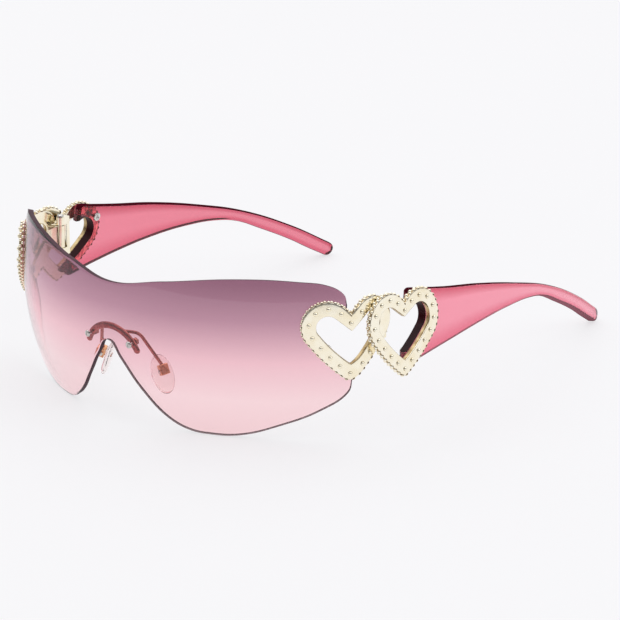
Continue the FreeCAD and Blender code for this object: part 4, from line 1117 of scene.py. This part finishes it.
def on_bar(x, z):
    """A place in the middle of the bar's thickness, and the way out of the lens there."""
    way = (on_sphere(Vector((x, 0, z))) - LENS_CENTRE).normalized()
    return LENS_CENTRE + way * BAR_MIDDLE_RADIUS, way


def bar_place(column, row):
    """A rounded section that closes to a point at each end of the arch."""
    swing = math.asin(BAR_HALF_SPAN / ARCH_RADIUS) + BAR_BAND / 2 / ARCH_RADIUS
    share = 2 * column / BAR_COLUMNS - 1
    angle = swing * math.sin(share * math.pi / 2)
    inward = min(1.0, (swing - abs(angle)) * ARCH_RADIUS / (BAR_BAND / 2))
    fullness = math.sqrt(max(1 - (1 - inward) ** 2, 0))
    turn = math.tau * row / BAR_ROWS
    radius = ARCH_RADIUS + fullness * BAR_BAND / 2 * math.cos(turn)
    centre, way = on_bar(radius * math.sin(angle), BAR_TOP - ARCH_RADIUS + radius * math.cos(angle))
    return centre + way * fullness * BAR_THICK / 2 * math.sin(turn)


bar = smooth(outwards(shaped_grid("bridge_bar_fine", BAR_COLUMNS, BAR_ROWS, bar_place)))
dressed(bar, "bridge_bar")
print("bar:", len(bar.data.polygons), "faces")

# %% Pad frame
PAD_PLACE = Vector((13.8, -80.55, 18.2))
PAD_SPLAY, PAD_SLOPE, PAD_LEAN = 30, 20, 24
PAD_DROP, PAD_SHIFT, PAD_LENGTH, PAD_WIDTH, PAD_THICK = 2.7, 1.2, 13.0, 7.2, 2.2


def pad_frame():
    """The left pad's frame: X down its length, Y across it and Z towards the nose."""
    splay, slope, lean = math.radians(PAD_SPLAY), math.radians(PAD_SLOPE), math.radians(PAD_LEAN)
    nose = Vector((-math.cos(slope) * math.cos(splay), math.cos(slope) * math.sin(splay), -math.sin(slope)))
    down = Vector((math.sin(lean), 0, -math.cos(lean)))
    down = (down - nose * down.dot(nose)).normalized()
    axes = Matrix((down, nose.cross(down), nose)).transposed()
    return Matrix.Translation(PAD_PLACE * MM) @ axes.to_4x4()


PAD_FRAME = pad_frame()
print("pads face the nose along", [round(value, 2) for value in PAD_FRAME.to_3x3().col[2]])

# %% Boxes of the pads
BOX_LENGTH, BOX_WIDTH, BOX_DEPTH, BOX_WALL = 3.4, 3.0, 2.6, 0.6
BOX_PLAY, BOX_BREAK = 0.3, 0.25
BOX_BACK = BOX_DEPTH - PAD_DROP + PAD_THICK / 2 + BOX_PLAY


def block(name, low, high):
    """A block between two corners, in millimetres."""
    piece = added(bpy.ops.mesh.primitive_cube_add, name, size=1.0)
    piece.scale = (high - low) * MM
    piece.location = (low + high) / 2 * MM
    return applied(piece)


def pad_box():
    """A small box with a slot that is open towards the pad and at its lower end."""
    end = (BOX_LENGTH + BOX_WALL) / 2
    box = block("pad_box", Vector((-end, -BOX_WIDTH / 2, -BOX_BACK)),
                Vector((BOX_LENGTH - end, BOX_WIDTH / 2, BOX_DEPTH - BOX_BACK)))
    slot = block("slot", Vector((BOX_WALL - end, BOX_WALL - BOX_WIDTH / 2, BOX_WALL - BOX_BACK)),
                 Vector((BOX_LENGTH, BOX_WIDTH / 2 - BOX_WALL, BOX_DEPTH)))
    finished(cut_by(box, slot), bevel(BOX_BREAK, 3, limit_method="ANGLE"))
    box.data.transform(PAD_FRAME)
    box.data.materials.append(BOX_GOLD)
    return box


box = pad_box()
print("pad box:", len(box.data.polygons), "faces")

# %% Arms
ARM_RADIUS, ARM_ROOT, WIRE_ROUNDNESS = 0.55, 4.4, 5
ARM_BEND, BEND_REACH, CORNER_STEPS = Vector((7.9, -85.3, 30.7)), 2.0, 10


def rounded_line(start, corner, end):
    """Two straight runs with their corner rounded."""
    first = corner + (start - corner).normalized() * BEND_REACH
    last = corner + (end - corner).normalized() * BEND_REACH
    bend = [first.lerp(corner, share).lerp(corner.lerp(last, share), share)
            for share in (step / CORNER_STEPS for step in range(CORNER_STEPS + 1))]
    return [start] + bend + [end]


def wire(name, line, radius):
    """A round wire along a line of points in millimetres."""
    data = bpy.data.curves.new(name, "CURVE")
    data.dimensions = "3D"
    data.bevel_depth = radius * MM
    data.bevel_resolution = WIRE_ROUNDNESS
    data.use_fill_caps = True
    spline = data.splines.new("POLY")
    spline.points.add(len(line) - 1)
    for point, place in zip(spline.points, line):
        point.co = (*(place * MM), 1.0)
    make_active(linked(name, data))
    bpy.ops.object.convert(target="MESH")
    return bpy.context.object


arm_root = on_bar(ARM_ROOT, BAR_TOP - ARCH_RADIUS + math.sqrt(ARCH_RADIUS ** 2 - ARM_ROOT ** 2))[0]
arm_end = PAD_FRAME @ (Vector((-BOX_LENGTH / 2, 0, BOX_DEPTH / 2 - BOX_BACK)) * MM) / MM
arm = wire("nose_pad_arm_left_fine", rounded_line(arm_root, ARM_BEND, arm_end), ARM_RADIUS)
arm.data.materials.append(WIRE_GOLD)
both_sides(smooth(joined(arm, box)), "nose_pad_arm")
print("arms:", len(arm.data.polygons), "faces each")

# %% [markdown]
# ## Nose pads
# A pad is poured in clear soft silicone round a small lug. A ball is pulled towards a drum, which makes the
# rim fuller, flattened to its thickness, and joined to the lug by a boolean so that light meets no wall
# inside it.

# %% Nose pads
PAD_SEGMENTS, PAD_RINGS, PAD_FULLNESS = 48, 24, 0.5
LUG_LENGTH, LUG_WIDTH, LUG_BACK, LUG_BREAK = 1.6, 1.5, 0.6, 0.2


def nose_pad():
    """A crowned oval pad with its lug."""
    made = added(bpy.ops.mesh.primitive_uv_sphere_add, "nose_pad_left_fine", segments=PAD_SEGMENTS,
                 ring_count=PAD_RINGS, radius=1.0)
    finished(made, ("CAST", {"cast_type": "CYLINDER", "factor": PAD_FULLNESS, "use_z": False, "size": 1.0}))
    made.scale = Vector((PAD_LENGTH, PAD_WIDTH, PAD_THICK)) * MM / 2
    made.location = Vector((PAD_SHIFT, 0, PAD_DROP)) * MM
    applied(made)
    lug = block("lug", Vector((-LUG_LENGTH / 2, -LUG_WIDTH / 2, -LUG_BACK)),
                Vector((LUG_LENGTH / 2, LUG_WIDTH / 2, PAD_DROP)))
    finished(lug, bevel(LUG_BREAK, 2))
    finished(made, boolean("UNION", lug))
    bpy.data.objects.remove(lug)
    made.data.transform(PAD_FRAME)
    return smooth(made)


pad = nose_pad()
for half in both_sides(pad, "nose_pad"):
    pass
print("pads:", len(pad.data.polygons), "faces each")

# %% [markdown]
# ## Fasteners
# Screws, washers and rivets are turned on a lathe, so each is a profile carried round its axis. The solids
# say where each one sits: a copy is taken apart, and its foot and top are measured along the axis. Heads
# that show get their slot, cut with a thin bar. Profiles are written as (radius, height) in millimetres.

# %% Turned pieces
TURN_STEPS, DOME_STEPS, SLOT_WIDTH = 28, 5, 0.28


def turned(profile, foot, axis):
    """A profile carried round an axis that stands on a foot."""
    axes = axis.to_track_quat("Z", "Y").to_matrix()

    def place(column, row):
        angle = math.tau * column / TURN_STEPS
        radius, height = profile[row]
        return foot / MM + axes @ Vector((radius * math.cos(angle), radius * math.sin(angle), height))

    return smooth(outwards(shaped_grid("turned", TURN_STEPS, len(profile) - 1, place)))


def domed(radius, foot, height):
    """The profile of a domed head, from its rim to its crown."""
    turns = [math.pi / 2 * step / DOME_STEPS for step in range(DOME_STEPS + 1)]
    return [(radius * math.cos(turn), foot + height * math.sin(turn)) for turn in turns]


def slotted(piece, crown, axis, length, depth):
    """Cut a driver's slot across a head."""
    blade = added(bpy.ops.mesh.primitive_cube_add, "blade", size=1.0)
    size = Vector((SLOT_WIDTH, length, 2 * depth)) * MM
    blade.matrix_world = facing(crown, axis) @ Matrix.Diagonal((*size, 1.0))
    return cut_by(piece, blade)


def domed_screw(shank, tip_break, head, head_height, dome, slot):
    """The shape of a screw with a plain shank and a slotted dome."""
    def shape(foot, length, axis):
        under = length - head_height
        profile = [(0, 0), (shank - tip_break, 0), (shank, tip_break), (shank, under), (head, under)]
        piece = turned(profile + domed(head, length - dome, dome), foot, axis)
        return slotted(piece, foot + axis * length * MM, axis, *slot)
    return shape


bridge_screw = domed_screw(shank=0.6, tip_break=0.1, head=1.15, head_height=0.6, dome=0.5, slot=(2.6, 0.22))
hinge_screw = domed_screw(shank=0.6, tip_break=0.1, head=1.2, head_height=0.8, dome=0.55, slot=(2.8, 0.25))
pad_screw = domed_screw(shank=0.45, tip_break=0.07, head=0.8, head_height=0.4, dome=0.25, slot=(1.9, 0.16))
print("turned in", TURN_STEPS, "steps")

# %% Other fasteners
NUT_RADIUS, NUT_BREAK = 1.3, 0.14
HEART_HEAD = ((0, 0), (1.0, 0), (1.2, 0.12), (1.25, 0.3), (1.25, 0.8), (0.6, 0.8))
HEART_SHANK, HEART_TIP, HEART_SLOT = 0.6, 0.15, (2.8, 0.3)
WASHER_BORE, WASHER_RADIUS, WASHER_BREAK = 0.62, 1.7, 0.1
RIVET_HEAD = ((0, 0.5), (0.5, 0.5), (0.65, 0.15), (0.85, 0.02), (1.2, 0), (1.42, 0.12), (1.5, 0.35),
              (1.5, 0.6), (0.7, 0.6))
RIVET_SHANK, RIVET_TIP = 0.7, 0.1


def bridge_nut(foot, length, axis):
    """A six-sided nut with broken corners."""
    nut = added(bpy.ops.mesh.primitive_cylinder_add, "nut", vertices=6, radius=NUT_RADIUS * MM,
                depth=length * MM)
    nut.matrix_world = facing(foot + axis * length / 2 * MM, axis)
    return finished(applied(nut), bevel(NUT_BREAK, 2))


def tipped(head, shank, tip, length):
    """The profile of a head, its shank and the shank's broken tip."""
    return [*head, (shank, length - tip), (shank - tip, length), (0, length)]


def heart_screw(foot, length, axis):
    """A flat head inside the lens, with a rounded rim and a slot."""
    piece = turned(tipped(HEART_HEAD, HEART_SHANK, HEART_TIP, length), foot, axis)
    return slotted(piece, foot, -axis, *HEART_SLOT)


def rivet(foot, length, axis):
    """A tubular rivet: a rolled ring of a head with a hollow middle."""
    return turned(tipped(RIVET_HEAD, RIVET_SHANK, RIVET_TIP, length), foot, axis)


def washer(foot, length, axis):
    """A thin ring with broken edges."""
    flat = WASHER_RADIUS - WASHER_BREAK
    outer = [(flat, 0), (WASHER_RADIUS, WASHER_BREAK), (WASHER_RADIUS, length - WASHER_BREAK), (flat, length)]
    return turned([(WASHER_BORE, 0), *outer, (WASHER_BORE, length), (WASHER_BORE, 0)], foot, axis)


print("rivet head:", len(RIVET_HEAD), "points of profile")

# %% All the fasteners
def islands(node_name):
    """The points of each separate solid of a node."""
    edited(smoothed(node_name), (bpy.ops.mesh.separate, {"type": "LOOSE"}))
    groups = []
    for part in list(bpy.context.selected_objects):
        groups.append([vertex.co.copy() for vertex in part.data.vertices])
        bpy.data.objects.remove(part)
    return groups


def fastener_set(node_name, axis_at, shape):
    """Every solid of a node, turned anew on the axis that it has at its middle."""
    pieces = []
    for points in islands(node_name):
        middle = sum(points, Vector()) / len(points)
        axis = axis_at(middle)
        heights = [(point - middle).dot(axis) for point in points]
        pieces.append(shape(middle + axis * min(heights), (max(heights) - min(heights)) / MM, axis))
    whole = smooth(joined(*pieces))
    whole.name = f"{node_name}_fine"
    return dressed(whole, node_name)


def from_lens_centre(place):
    """The way out of the lens at a place."""
    return (place - LENS_CENTRE * MM).normalized()


def upwards(place):
    """Straight up, on either side."""
    return Vector((0, 0, 1))


def sided(way):
    """A way of the left side, turned over for places on the right side."""
    return lambda place: Vector((way.x if place.x > 0 else -way.x, way.y, way.z))


TEMPLE_WAY = LEAN @ Vector((1, 0, 0))
PAD_WAY = PAD_FRAME.to_3x3().col[1].normalized()
made = [fastener_set("bridge_screws", from_lens_centre, bridge_screw),
        fastener_set("bridge_nuts", from_lens_centre, bridge_nut)]
for side in ("left", "right"):
    made += [fastener_set(f"heart_screws_{side}", from_lens_centre, heart_screw),
             fastener_set(f"heart_washers_{side}", from_lens_centre, washer),
             fastener_set(f"hinge_screw_{side}", upwards, hinge_screw),
             fastener_set(f"temple_rivets_{side}", sided(TEMPLE_WAY), rivet),
             fastener_set(f"pad_screw_{side}", sided(PAD_WAY), pad_screw)]
print("fasteners:", len(made), "sets")

# %% [markdown]
# ## Last look
# The formers have done their work and go.

# %% Formers go
bpy.data.objects.remove(front_former)
bpy.data.objects.remove(side_former)
